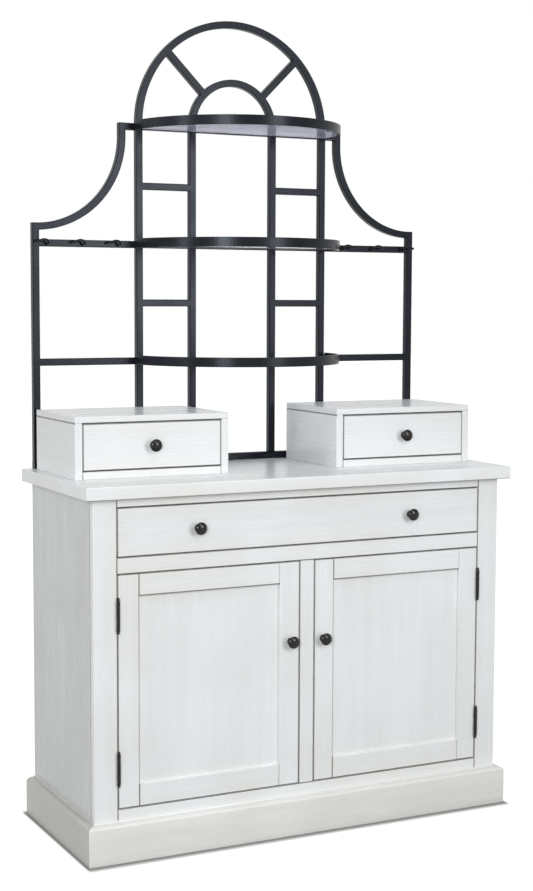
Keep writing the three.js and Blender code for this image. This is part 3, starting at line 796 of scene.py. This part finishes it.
# %% [markdown]
# ## Turned knobs
# A knob is turned: every section across its axis is a circle. So it is one profile, distance
# along the axis against radius, swung round the axis. The profile is a rosette, a hollow neck
# and a domed head, all arcs, and the poles at both ends close it.

# %% Knobs
KNOB_SIDES = 48
OFF_AXIS = (0.3, 0.5, 0.8)
HEAD_HALF_DEPTH = 6.4 * MM
HEAD_BACK_SHARE, HEAD_FRONT_SHARE = 0.62, 1.1
ROSETTE_RADIUS, ROSETTE_PLATE, ROSETTE_ROUND = 9.5 * MM, 1.6 * MM, 1.2 * MM
NECK_RADIUS, NECK_START, NECK_FLARE = 5.4 * MM, 3.0 * MM, 2.4 * MM
TURNED_SHARP = 50


def circle(sides):
    """Points evenly round a circle of radius 1."""
    return arc((0, 0), 1, 0, 360 - 360 / sides, sides)


def turned(profile, origin, axis, sides=KNOB_SIDES):
    """Surface of revolution: point = origin + along * axis + radius * (cos t * u + sin t * v)."""
    u = np.cross(axis, OFF_AXIS)
    u /= np.linalg.norm(u)
    ring = circle(sides) @ [u, np.cross(axis, u)]
    along, radius = profile[:, 0, None, None], profile[:, 1, None, None]
    return Form(*closed(origin + along * np.array(axis) + radius * ring))


def knob_profile(length, radius):
    """(along, radius): rosette with a rounded rim, neck as a hollow arc, head as a half ellipse
    whose back is flatter than its front."""
    head_middle = length - HEAD_HALF_DEPTH * HEAD_FRONT_SHARE
    turn = np.radians(np.linspace(-75, 90, 18))
    depth = np.where(turn < 0, HEAD_BACK_SHARE, HEAD_FRONT_SHARE) * HEAD_HALF_DEPTH
    head = np.column_stack([head_middle + depth * np.sin(turn), radius * np.cos(turn)])
    share = np.linspace(0, 1, 9)
    swell = (head[0][1] - NECK_RADIUS) * share ** 6 + NECK_FLARE * (1 - share) ** 5
    neck = np.column_stack([NECK_START + (head[0][0] - NECK_START) * share, NECK_RADIUS + swell])
    rim = [(0, 0), (0, ROSETTE_RADIUS), (ROSETTE_PLATE, ROSETTE_RADIUS)]
    rosette = arc((ROSETTE_PLATE, ROSETTE_RADIUS - ROSETTE_ROUND), ROSETTE_ROUND, 90, 0, 5)
    return np.concatenate([rim, rosette[1:], neck, head[1:]])


def knob(node):
    """A knob in the place of its node: its foot is on the node's back face."""
    low, high = box(node)
    middle = (low + high) / 2
    profile = knob_profile(high[1] - low[1], (high[0] - low[0]) / 2)
    return turned(profile, np.array([middle[0], high[1], middle[2]]), (0, -1, 0))


KNOBS = [n for n in body_of if "knob" in n]
for node in KNOBS:
    piece(f"{node}_turned", node, [knob(node)], bronze, TURNED_SHARP)
print("knobs:", len(KNOBS))

# %% [markdown]
# ## Hinges
# A butt hinge shows its barrel and the ball tips of its pin in front of the door. The barrel is
# turned like a knob, knuckle by knuckle, each with eased ends so that the joints between them
# read. The leaves lie in the door's edge and the stile's, with three countersunk screws each,
# and are only seen when the door is open.

# %% Hinge parts
UP = (0, 0, 1)
BARREL, KNUCKLE_EASE = 4.5 * MM, 0.7 * MM
TIP, TIP_LENGTH, TIP_WAIST, TIP_SUNK = 3.8 * MM, 7.5 * MM, 1.8 * MM, 1 * MM
SCREW_RADIUS, SCREW_DOME, SCREW_SUNK = 3.2 * MM, 0.45 * MM, 0.5 * MM
BARREL_SIDES, SCREW_SIDES = 24, 20


def knuckle(axis_foot, low, high):
    """A short cylinder between two heights with quarter-round ends."""
    rim = BARREL - KNUCKLE_EASE
    bottom = arc((low + KNUCKLE_EASE, rim), KNUCKLE_EASE, 180, 90, 4)
    top = arc((high - KNUCKLE_EASE, rim), KNUCKLE_EASE, 90, 0, 4)
    profile = np.concatenate([[(low, 0)], bottom, top, [(high, 0)]])
    return turned(profile, axis_foot, UP, BARREL_SIDES)


def pin_tip(axis_foot, base, direction):
    """A short waist and a ball: the ball's centre lies a ball's radius short of the end."""
    ball_side = arc((TIP_LENGTH - TIP, 0), TIP, 152, 0, 12)
    profile = np.concatenate([[(-TIP_SUNK, 0), (-TIP_SUNK, TIP_WAIST)], ball_side])
    foot = np.array([axis_foot[0], axis_foot[1], base])
    return turned(profile, foot, (0, 0, direction), BARREL_SIDES)


def screw_head(centre, facing):
    """A shallow dome sunk in the leaf, on the leaf's open face."""
    dome = arc((0, 0), 1, 90, 0, 6) * (SCREW_DOME, SCREW_RADIUS)
    profile = np.concatenate([[(-SCREW_SUNK, 0), (-SCREW_SUNK, SCREW_RADIUS)], dome])
    return turned(profile, centre, (facing, 0, 0), SCREW_SIDES)


print("a screw head has", len(screw_head(np.zeros(3), 1).faces), "faces")

# %% [markdown]
# ### Leaves on one line
# All four hinges share a line a millimetre past the stile's inner face, where the record's joint
# turns. The frame leaf has the end knuckles and the pin, the door leaf the middle one.

# %% Hinges
PIN_ASIDE, PIN_FORWARD = 1 * MM, 5 * MM
LEAF, LEAF_DEPTH, LEAF_EDGE = 2 * MM, 16 * MM, 0.4 * MM
LEAF_START_SHARE = 0.6
SLIT = 0.15 * MM


def hinge_leaf(foot, front, direction, ends, knuckles):
    """A leaf with its knuckles and three screws. direction is the side that it lies to."""
    bottom, top = ends
    inner, outer = foot[0] + direction * SLIT, foot[0] + direction * (SLIT + LEAF)
    low = (min(inner, outer), foot[1] + BARREL * LEAF_START_SHARE, bottom)
    high = (max(inner, outer), front + LEAF_DEPTH, top)
    sixth = (top - bottom) / 6
    forms = [board(low, high, "z", LEAF_EDGE)]
    forms += [knuckle(foot, *span) for span in knuckles]
    for height in (bottom + sixth, (bottom + top) / 2, top - sixth):
        forms.append(screw_head(np.array([inner, front + LEAF_DEPTH / 2, height]), -direction))
    return forms


def hinge_forms(node, side):
    """Forms of the frame leaf, whose box sets the hinge's height, and of the door leaf."""
    low, high = box(node)
    bottom, top = low[2] + TIP_LENGTH, high[2] - TIP_LENGTH
    third = (top - bottom) / 3
    front = box("left_stile")[0][1]
    line = abs(box("left_stile")[1][0] + PIN_ASIDE)
    foot = np.array([side * line, front - PIN_FORWARD, 0.0])
    ends = [(bottom, bottom + third), (top - third, top)]
    middle = [(bottom + third + SLIT, top - third - SLIT)]
    frame_leaf = hinge_leaf(foot, front, side, (bottom, top), ends)
    frame_leaf += [pin_tip(foot, bottom, -1), pin_tip(foot, top, 1)]
    return {"frame": frame_leaf, "door": hinge_leaf(foot, front, -side, (bottom, top), middle)}


for side_name, side in SIDES.items():
    for level in ("lower", "upper"):
        hinge = f"{side_name}_{level}_hinge"
        for kind, forms in hinge_forms(f"{hinge}_frame_leaf", side).items():
            node = f"{hinge}_{kind}_leaf"
            piece(f"{node}_metal", node, forms, bronze, TURNED_SHARP)
print("hinge barrels", 2 * BARREL, "m thick")

# %% [markdown]
# ## Square tube
# The rack is bent and welded from one square tube. A tube is a section carried along a path: at
# every station the section's first axis points sideways from the path and its second straight
# back. The path's direction is an angle, so straight stretches and bends are the same formula.
# A bar that butts against another runs into it by the radius of the section's corner, where the
# weld is on the real rack.

# %% Tube form
TUBE = float(np.subtract(*box("rack_base_bar")[::-1])[1])
TUBE_ROUND = 2.0 * MM
RACK_MIDDLE = float(sum(box("rack_base_bar"))[1] / 2)
ROUND_STEPS = 4


def rounded_section(width, depth, radius):
    """A rectangle with rounded corners, counter-clockwise, as (sideways, back)."""
    x, y = width / 2 - radius, depth / 2 - radius
    centres = ((x, y), (-x, y), (-x, -y), (x, -y))
    return np.concatenate([
        arc(centre, radius, 90 * k, 90 * k + 90, ROUND_STEPS) for k, centre in enumerate(centres)])


def swept(path, sideways, back, section, has_flats=True):
    """point = path + across * sideways + deep * back, for each station and section point. A quad
    that joins one corner's last point to the next corner's first is a flat side."""
    across, deep = section[None, :, 0, None], section[None, :, 1, None]
    points = path[:, None] + across * sideways[:, None] + deep * back[:, None]
    is_round = np.arange(len(section)) % ROUND_STEPS != ROUND_STEPS - 1
    return Form(*closed(points, is_round if has_flats else True))


def tube_along(x, z, heading):
    """Tube in the rack's plane. heading is the path's angle in that plane, in degrees, and the
    section's sideways axis is a quarter turn from it."""
    x, z = np.asarray(x, float), np.asarray(z, float)
    angle = np.radians(np.broadcast_to(np.asarray(heading, float), x.shape))
    flat = np.zeros_like(angle)
    path = np.stack([x, np.full_like(x, RACK_MIDDLE), z], -1)
    sideways = np.stack([-np.sin(angle), flat, np.cos(angle)], -1)
    back = np.stack([flat, flat + 1, flat], -1)
    return swept(path, sideways, back, rounded_section(TUBE, TUBE, TUBE_ROUND))


print("tube", round(TUBE, 4), "m square, its middle at y =", round(RACK_MIDDLE, 4))

# %% [markdown]
# ## Levels and radii of the rack
# All of the rack's places come from boxes of the frame: the levels of its bars from the rims,
# whose undersides are level with the bars', and the outer hoop's radius and centre from its own
# box. Only the inner hoop's radius and the brace's are sizes of their own.

# %% Rack measures
LEVELS = {n: float(box(f"{n}_shelf_rim")[0][2]) + TUBE / 2 for n in ("lower", "middle", "upper")}
HOOP_RADIUS = float(box("rack_outer_hoop")[1][0]) - TUBE / 2
ARCH_CENTRE = float(box("rack_outer_hoop")[1][2]) - HOOP_RADIUS - TUBE / 2
POST_FOOT = float(box("rack_outer_hoop")[0][2])
OUTER_POST = float(box("rack_right_wing")[1][0]) - TUBE / 2
INNER_RADIUS = 122 * MM
POST_TOP_ABOVE_HOOKS = 52.5 * MM
STUB_REACH = 39.3 * MM
SPOKE_ANGLE = 45
print("levels:", {n: round(z, 4) for n, z in LEVELS.items()}, "hoop", round(HOOP_RADIUS, 4))

# %% [markdown]
# ## Hoops, rungs and spokes
# A hoop rises as a post, bends over in a half circle and comes down as the other post. Its
# heading turns from straight up to straight down along the bend.

# %% Hoops
BEND_STEPS = 96


def hoop(radius):
    """Post, half circle, post: on the bend the point is centre + radius at the angle, and the
    heading is that angle less a quarter turn."""
    bend = arc((0, ARCH_CENTRE), radius, 180, 0, BEND_STEPS)
    x, z = np.concatenate([[(-radius, POST_FOOT)], bend, [(radius, POST_FOOT)]]).T
    return tube_along(x, z, np.concatenate([[90], np.linspace(90, -90, BEND_STEPS), [-90]]))


def bar(start, end):
    """A straight tube between two points (x, z), run on into its neighbours by the corner."""
    start, end = np.asarray(start, float), np.asarray(end, float)
    along = (end - start) / np.linalg.norm(end - start)
    start, end = start - along * TUBE_ROUND, end + along * TUBE_ROUND
    heading = math.degrees(math.atan2(along[1], along[0]))
    return tube_along([start[0], end[0]], [start[1], end[1]], heading)


HOOP_GAP = (INNER_RADIUS + TUBE / 2, HOOP_RADIUS - TUBE / 2)


def spoke(side):
    """From the inner arch's outside to the outer arch's inside, along a radius."""
    angle = math.radians(SPOKE_ANGLE)
    ray = np.array([side * math.cos(angle), math.sin(angle)])
    return bar(*(np.array([0, ARCH_CENTRE]) + reach * ray for reach in HOOP_GAP))


def rung(side, height):
    """Level bar between the hoops' posts."""
    return bar(*((side * reach, height) for reach in HOOP_GAP))


def base_bar():
    """The bar on the slab, which ends flush with its node instead of running on."""
    low, high = box("rack_base_bar")
    height = float(low[2] + high[2]) / 2
    return bar((low[0] + TUBE_ROUND, height), (high[0] - TUBE_ROUND, height))


rung_levels = [(LEVELS["lower"] + LEVELS["middle"]) / 2, (LEVELS["middle"] + LEVELS["upper"]) / 2]
inner = [hoop(INNER_RADIUS)]
inner += [spoke(side) for side in SIDES.values()]
inner += [rung(side, z) for side in SIDES.values() for z in rung_levels]
piece("outer_hoop_tube", "rack_outer_hoop", [hoop(HOOP_RADIUS)], black_metal)
piece("inner_hoop_tubes", "rack_inner_hoop", inner, black_metal)
piece("base_bar_tube", "rack_base_bar", [base_bar()], black_metal)
print("rungs at", [round(z, 4) for z in rung_levels])

# %% [markdown]
# ## Wings
# Each outer post stops above the hook bar. From its top a brace swings up in a quarter round,
# runs straight for a hand's width and is tied to the hoop by a short stub.

# %% Wings and side bars


def wing(side):
    """Post, brace and stub. The brace's bend has its centre over the post: the point is centre +
    radius at an angle from straight down to level, and then it runs straight up."""
    post_top = LEVELS["middle"] + POST_TOP_ABOVE_HOOKS
    hoop_face = HOOP_RADIUS + TUBE / 2
    radius = OUTER_POST - hoop_face - STUB_REACH
    centre = post_top - TUBE / 2 + radius
    foot = math.degrees(math.asin((TUBE / 2 - TUBE_ROUND) / radius))
    bend = arc((OUTER_POST, centre), radius, 270 - foot, 180, BEND_STEPS // 2)
    x, z = np.concatenate([bend, [(OUTER_POST - radius, LEVELS["upper"] + TUBE / 2)]]).T
    heading = np.concatenate([np.linspace(180 - foot, 90, BEND_STEPS // 2), [90]])
    brace = tube_along(side * x, z, heading if side > 0 else 180 - heading)
    post = tube_along(np.full(2, side * OUTER_POST), [POST_FOOT, post_top], 90)
    stub_end = OUTER_POST - radius - TUBE / 2
    stub = bar((side * hoop_face, LEVELS["upper"]), (side * stub_end, LEVELS["upper"]))
    return [post, brace, stub]


def side_bar(side, height):
    """Level bar from the hoop to the outer post."""
    return bar((side * (HOOP_RADIUS + TUBE / 2), height), (side * (OUTER_POST - TUBE / 2), height))


for name, side in SIDES.items():
    piece(f"{name}_wing_tubes", f"rack_{name}_wing", wing(side), black_metal)
    level = [side_bar(side, LEVELS["lower"])]
    piece(f"{name}_side_bar_tube", f"rack_{name}_side_bar", level, black_metal)
print("outer posts at", round(OUTER_POST, 4))

# %% [markdown]
# ## Hooks
# Small wire hooks sit on the front of the upper side bars. Each comes forward, rises over a
# crest and runs outward. The wire's route is a smooth curve through a few points, and a round
# section is carried along it; a ball closes the free end.

# %% Hooks
WIRE, WIRE_SIDES = 3.4 * MM, 14
HOOKS_PER_BAR, HOOK_STEPS = 3, 8
HOOK_NEAR, HOOK_FAR = 52 * MM, 20.8 * MM
HOOK_REACH, HOOK_LENGTH, HOOK_CREST = 19 * MM, 31 * MM, 8 * MM
HOOK_ROUTE_SHARES = [(0, -0.2, -0.5), (0, 0.5, -0.3), (0.12, 0.9, 0.7), (0.5, 1, 1), (1, 0.9, 0.35)]


def smooth_route(points, steps):
    """Catmull-Rom curve: between two points it is a cubic whose slope at each is half the way
    between that point's neighbours. a, b, c and d are four points in a row, and it runs from b
    to c."""
    p = np.asarray(points, float)
    p = np.concatenate([[2 * p[0] - p[1]], p, [2 * p[-1] - p[-2]]])
    t = np.linspace(0, 1, steps, endpoint=False)[:, None]
    a, b, c, d = (p[i:len(p) - 3 + i, None, :] for i in range(4))
    square, cube = 2 * a - 5 * b + 4 * c - d, 3 * b - a - 3 * c + d
    curve = (2 * b + (c - a) * t + square * t ** 2 + cube * t ** 3) / 2
    return np.concatenate([curve.reshape(-1, 3), p[-2:-1]])


def wire_along(route, radius):
    """Round wire. The sideways axis at each station is square to the path; it starts level and
    is carried on from station to station, so that the wire doesn't twist."""
    along = np.gradient(route, axis=0)
    along /= np.linalg.norm(along, axis=1)[:, None]
    sideways = np.zeros_like(along)
    last = np.cross(along[0], UP)
    for i, direction in enumerate(along):
        last = last - direction * (last @ direction)
        last = last / np.linalg.norm(last)
        sideways[i] = last
    section = radius * circle(WIRE_SIDES)
    return swept(route, sideways, np.cross(along, sideways), section, has_flats=False)


def ball(centre, radius):
    """A sphere as a turned half circle."""
    return turned(arc((0, 0), radius, 180, 0, 11), centre, UP, 16)


def hook(side, x, height, face):
    """Wire and ball of one hook, whose root is on the bar's front face. The shares say how far
    along, forward and up each point of the route lies."""
    share = np.array(HOOK_ROUTE_SHARES)
    size = (side * HOOK_LENGTH, -HOOK_REACH, HOOK_CREST)
    route = smooth_route((x, face, height) + share * size, HOOK_STEPS)
    return [wire_along(route, WIRE), ball(route[-1], WIRE)]


def hook_bar(side):
    """The side bar at the middle level with its hooks."""
    first = HOOP_RADIUS + TUBE / 2 + HOOK_NEAR
    last = OUTER_POST - TUBE / 2 - HOOK_FAR
    forms = [side_bar(side, LEVELS["middle"])]
    for x in np.linspace(first, last, HOOKS_PER_BAR):
        forms += hook(side, side * x, LEVELS["middle"], RACK_MIDDLE - TUBE / 2)
    return forms


for name, side in SIDES.items():
    piece(f"{name}_hook_bar_tubes", f"rack_{name}_hook_bar", hook_bar(side), black_metal)
print("hooks:", len(SIDES) * HOOKS_PER_BAR)

# %% [markdown]
# ## Half-round rims
# A rim is flat bar rolled to a half circle and stood on edge. A flat strip joins its ends along
# the posts, and three small tabs inside the curve help it to carry the glass.

# %% Rims
RIM_HEIGHT = float(np.subtract(*box("upper_shelf_rim")[::-1])[2])
RIM_BAND, RIM_ROUND = 6 * MM, 0.9 * MM
SEAT_WIDTH, SEAT_THICK, SEAT_EDGE = 13 * MM, 3 * MM, 0.5 * MM
TAB_WIDTH = 8 * MM
TAB_ANGLES = (-40, 0, 40)
RACK_FRONT = RACK_MIDDLE - TUBE / 2


def rolled(radius, width, height, low):
    """Flat bar rolled about the rack's middle: the path is a half circle in plan from the left
    end round the front to the right one, with its section's sideways axis along the radius."""
    turn = np.linspace(math.pi, 2 * math.pi, BEND_STEPS)
    flat = np.zeros_like(turn)
    sideways = np.stack([np.cos(turn), np.sin(turn), flat], -1)
    path = sideways * radius + (0, RACK_FRONT, low + height / 2)
    back = np.stack([flat, flat, flat + 1], -1)
    return swept(path, sideways, back, rounded_section(width, height, RIM_ROUND))


def turned_about_rack(form, degrees):
    """The form turned in plan about the middle of the rack's front."""
    turn = math.radians(degrees)
    x, y = form.points[:, 0].copy(), form.points[:, 1] - RACK_FRONT
    form.points[:, 0] = x * math.cos(turn) - y * math.sin(turn)
    form.points[:, 1] = x * math.sin(turn) + y * math.cos(turn) + RACK_FRONT
    return form


def rim(level):
    """Upright band, strip along the posts, and tabs that run into the band by half of it."""
    low = LEVELS[level] - TUBE / 2
    top = low + SEAT_THICK
    inside = HOOP_RADIUS + TUBE / 2
    lap = inside + RIM_BAND / 2
    strip = board((-lap, RACK_FRONT - SEAT_WIDTH, low), (lap, RACK_FRONT, top), "x", SEAT_EDGE)
    tab = (-TAB_WIDTH / 2, RACK_FRONT - lap, low), (TAB_WIDTH / 2, RACK_FRONT - inside + SEAT_WIDTH, top)
    tabs = [turned_about_rack(board(*tab, "y", SEAT_EDGE), angle) for angle in TAB_ANGLES]
    return [rolled(lap, RIM_BAND, RIM_HEIGHT, low), strip, *tabs]


for level in LEVELS:
    piece(f"{level}_rim_bands", f"{level}_shelf_rim", rim(level), black_metal)
print("rims", round(RIM_HEIGHT, 4), "m high")

# %% [markdown]
# ## Glass
# Each shelf is a half disc of plate glass with a polished round edge. Its outline shrinks evenly
# as the edge turns over, so a row of the grid is one outline at one height: an arc of the smaller
# radius, whose ends stop where they meet the straight back.

# %% Glass shelves
EDGE_ROWS = 9


def half_disc(level):
    """Rows go round the edge: inset = thickness / 2 * (1 - cos t), height = thickness / 2 * sin t.
    Each row is an arc of the radius less the inset, its ends on the back line moved by as much."""
    low, high = box(f"{level}_shelf_glass")
    radius, back = float(high[0]), float(high[1])
    half = float(high[2] - low[2]) / 2
    turn = np.radians(np.linspace(-90, 90, EDGE_ROWS))[:, None]
    inset = half * (1 - np.cos(turn))
    drop = np.arcsin((RACK_FRONT - back + inset) / (radius - inset))
    angle = math.pi + drop + (math.pi - 2 * drop) * np.linspace(0, 1, BEND_STEPS)
    x, y = (radius - inset) * np.cos(angle), RACK_FRONT + (radius - inset) * np.sin(angle)
    height = (low[2] + high[2]) / 2 + half * np.sin(turn)
    points = np.stack(np.broadcast_arrays(x, y, height), -1)
    return Form(*closed(points))


for level in LEVELS:
    piece(f"{level}_glass_plate", f"{level}_shelf_glass", [half_disc(level)], shelf_glass)
print("glass plates:", len(LEVELS))

# %% [markdown]
# ## Floor
# The floor is a plain white sheet under a white world. Their white is light of their own that
# only the camera, a gloss or a glass sees, so it adds nothing to the light on the wood. Close to
# the plinth the floor has less of it, which paints a thin shadow along the plinth's foot, over
# the real shade of the floor's grey.

# %% Floor and world
FLOOR_HALF = 30.0
FLOOR_TONE = colour(0.22, 0.212, 0.208)
PAINTED_SHADOW_LIFT, NEAR_LIFT, FAR_LIFT = 0.07, 0.96, 1.02
PAINTED_SHADOW_START, PAINTED_SHADOW_END = 4 * MM, 36 * MM
NEAR, FAR = 1.0, 5.0
SIDEWAYS = (3, 1, 1)
FILL, WHITE = 0.375, 1.0


def seen_directly(tree):
    """1 for a ray from the camera, off a gloss or through glass, 0 for the rest."""
    path = add(tree, "ShaderNodeLightPath").outputs
    direct = maths(tree, "MAXIMUM", path["Is Camera Ray"], path["Is Transmission Ray"])
    return maths(tree, "MAXIMUM", direct, path["Is Glossy Ray"])


def away_from_plinth(tree):
    """Distance on the floor from the plinth's outline: the length of what is left of |place| past
    the outline's half sizes. A way to the side counts more, so the painted shadow is narrower
    there."""
    low, high = np.minimum(box("plinth_left")[0], box("plinth_front")[0]), box("plinth_right")[1]
    middle, half = (low + high) / 2, (high - low) / 2
    middle[2] = half[2] = 0
    place = add(tree, "ShaderNodeTexCoord").outputs["Object"]
    size = vector_maths(tree, "ABSOLUTE", vector_maths(tree, "SUBTRACT", place, middle.tolist()))
    past = vector_maths(tree, "MAXIMUM", vector_maths(tree, "SUBTRACT", size, half.tolist()), (0, 0, 0))
    past = vector_maths(tree, "MULTIPLY", past, SIDEWAYS)
    return add(tree, "ShaderNodeVectorMath", {0: past}, operation="LENGTH").outputs["Value"]


def white_floor():
    """Diffuse grey plus its own light for directly seen rays, which grows with the distance: low
    along the plinth's foot, where it leaves a painted shadow.
    """
    made, tree, shader = new_material("white floor")
    away = away_from_plinth(tree)
    # Less lift near the plinth: a painted shadow along its foot.
    lift = ramp(tree, away, PAINTED_SHADOW_START, PAINTED_SHADOW_END, PAINTED_SHADOW_LIFT, NEAR_LIFT)
    lift = maths(tree, "ADD", lift, ramp(tree, away, NEAR, FAR, 0.0, FAR_LIFT - NEAR_LIFT))
    feed(tree, shader, {
        "Base Color": FLOOR_TONE,
        "Roughness": 0.9,
        "Specular IOR Level": 0.0,
        "Emission Color": colour(1, 1, 1),
        "Emission Strength": maths(tree, "MULTIPLY", lift, seen_directly(tree)),
    })
    return made


def floor_sheet():
    """One square of the ground."""
    corners = [(x * FLOOR_HALF, y * FLOOR_HALF, 0) for x, y in ((-1, -1), (1, -1), (1, 1), (-1, 1))]
    mesh = bpy.data.meshes.new("floor")
    mesh.from_pydata(corners, [], [(0, 1, 2, 3)])
    mesh.materials.append(white_floor())
    made = bpy.data.objects.new("floor", mesh)
    bpy.context.scene.collection.objects.link(made)


def white_world():
    """White where it is seen, and a plain grey light elsewhere: fill + seen * (white - fill)."""
    world = bpy.data.worlds.new("studio")
    world.use_nodes = True
    tree = world.node_tree
    level = maths(tree, "MULTIPLY_ADD", seen_directly(tree), WHITE - FILL, FILL)
    feed(tree, tree.nodes["Background"], {"Color": colour(1, 1, 1), "Strength": level})
    bpy.context.scene.world = world


floor_sheet()
white_world()
print("floor and world in place")

# %% [markdown]
# ## Lamps
# Three tall narrow soft boxes stand round the front, to the left, beside the camera and to the
# right. The black bars and rims mirror them as soft bands. A high lamp in front gives the short
# shade under every edge, and two faint ones light the tops and the sides, which look at no box.

# %% Lamps
AIM = Vector((0.0, 0.0, 1.2))


def round_the_piece(azimuth, away, height):
    """A place that is so far from the middle: azimuth 0 is straight in front, positive to the
    right."""
    turn = math.radians(azimuth)
    return (away * math.sin(turn), -away * math.cos(turn), height)


def lamp(name, place, size, power):
    """A rectangular lamp of a size in metres and a power in watts that looks at the middle of
    the piece."""
    data = bpy.data.lights.new(name, "AREA")
    data.shape = "RECTANGLE"
    data.size, data.size_y = size
    data.energy = power
    made = bpy.data.objects.new(name, data)
    made.location = place
    made.rotation_euler = (AIM - Vector(place)).to_track_quat("-Z", "Y").to_euler()
    bpy.context.scene.collection.objects.link(made)


LAMPS = {
    "left box": (round_the_piece(-80, 4.6, 2.2), (0.9, 1.8), 35),
    "camera box": (round_the_piece(-36, 5.4, 1.9), (1.3, 1.8), 112),
    "right box": (round_the_piece(21, 5.2, 1.9), (1.4, 1.8), 72),
    "high front lamp": ((0.5, -4.8, 3.7), (0.9, 0.9), 38),
    "top lamp": ((-0.6, -1.4, 4.6), (1.4, 1.4), 18),
    "side lamp": (round_the_piece(-115, 4.6, 3.0), (1.2, 1.2), 14),
}
for name, (place, size, power) in LAMPS.items():
    lamp(name, place, size, power)
print("lamps:", list(LAMPS))

# %% [markdown]
# ## Camera
# The photograph's own straight lines give its camera: where it stood, how far it was turned and
# tipped, and how long its lens was for a frame that is taller than wide.

# %% Camera
CAMERA_PLACE = (-1.9523, -3.8677, 1.3828)
CAMERA_YAW, CAMERA_PITCH, CAMERA_ROLL = 26.68, 5.17, 0.22
FRAME_HEIGHT = 891
FOCAL_PIXELS = 1629.0
SENSOR = 36.0
SIGHT = 200


def photo_camera():
    """Turned right by the yaw, tipped down by the pitch, then rolled about its own axis."""
    data = bpy.data.cameras.new("photo camera")
    data.sensor_width = SENSOR
    data.lens = FOCAL_PIXELS / FRAME_HEIGHT * SENSOR
    data.clip_end = SIGHT
    made = bpy.data.objects.new("photo camera", data)
    turn = Matrix.Rotation(-math.radians(CAMERA_YAW), 4, "Z")
    tip = Matrix.Rotation(math.radians(90 - CAMERA_PITCH), 4, "X")
    roll = Matrix.Rotation(math.radians(CAMERA_ROLL), 4, "Z")
    made.matrix_world = Matrix.Translation(CAMERA_PLACE) @ turn @ tip @ roll
    bpy.context.scene.collection.objects.link(made)
    return made


camera = photo_camera()
bpy.context.scene.camera = camera
bpy.context.scene.view_settings.view_transform = "Standard"
print("lens", round(camera.data.lens, 2), "mm")
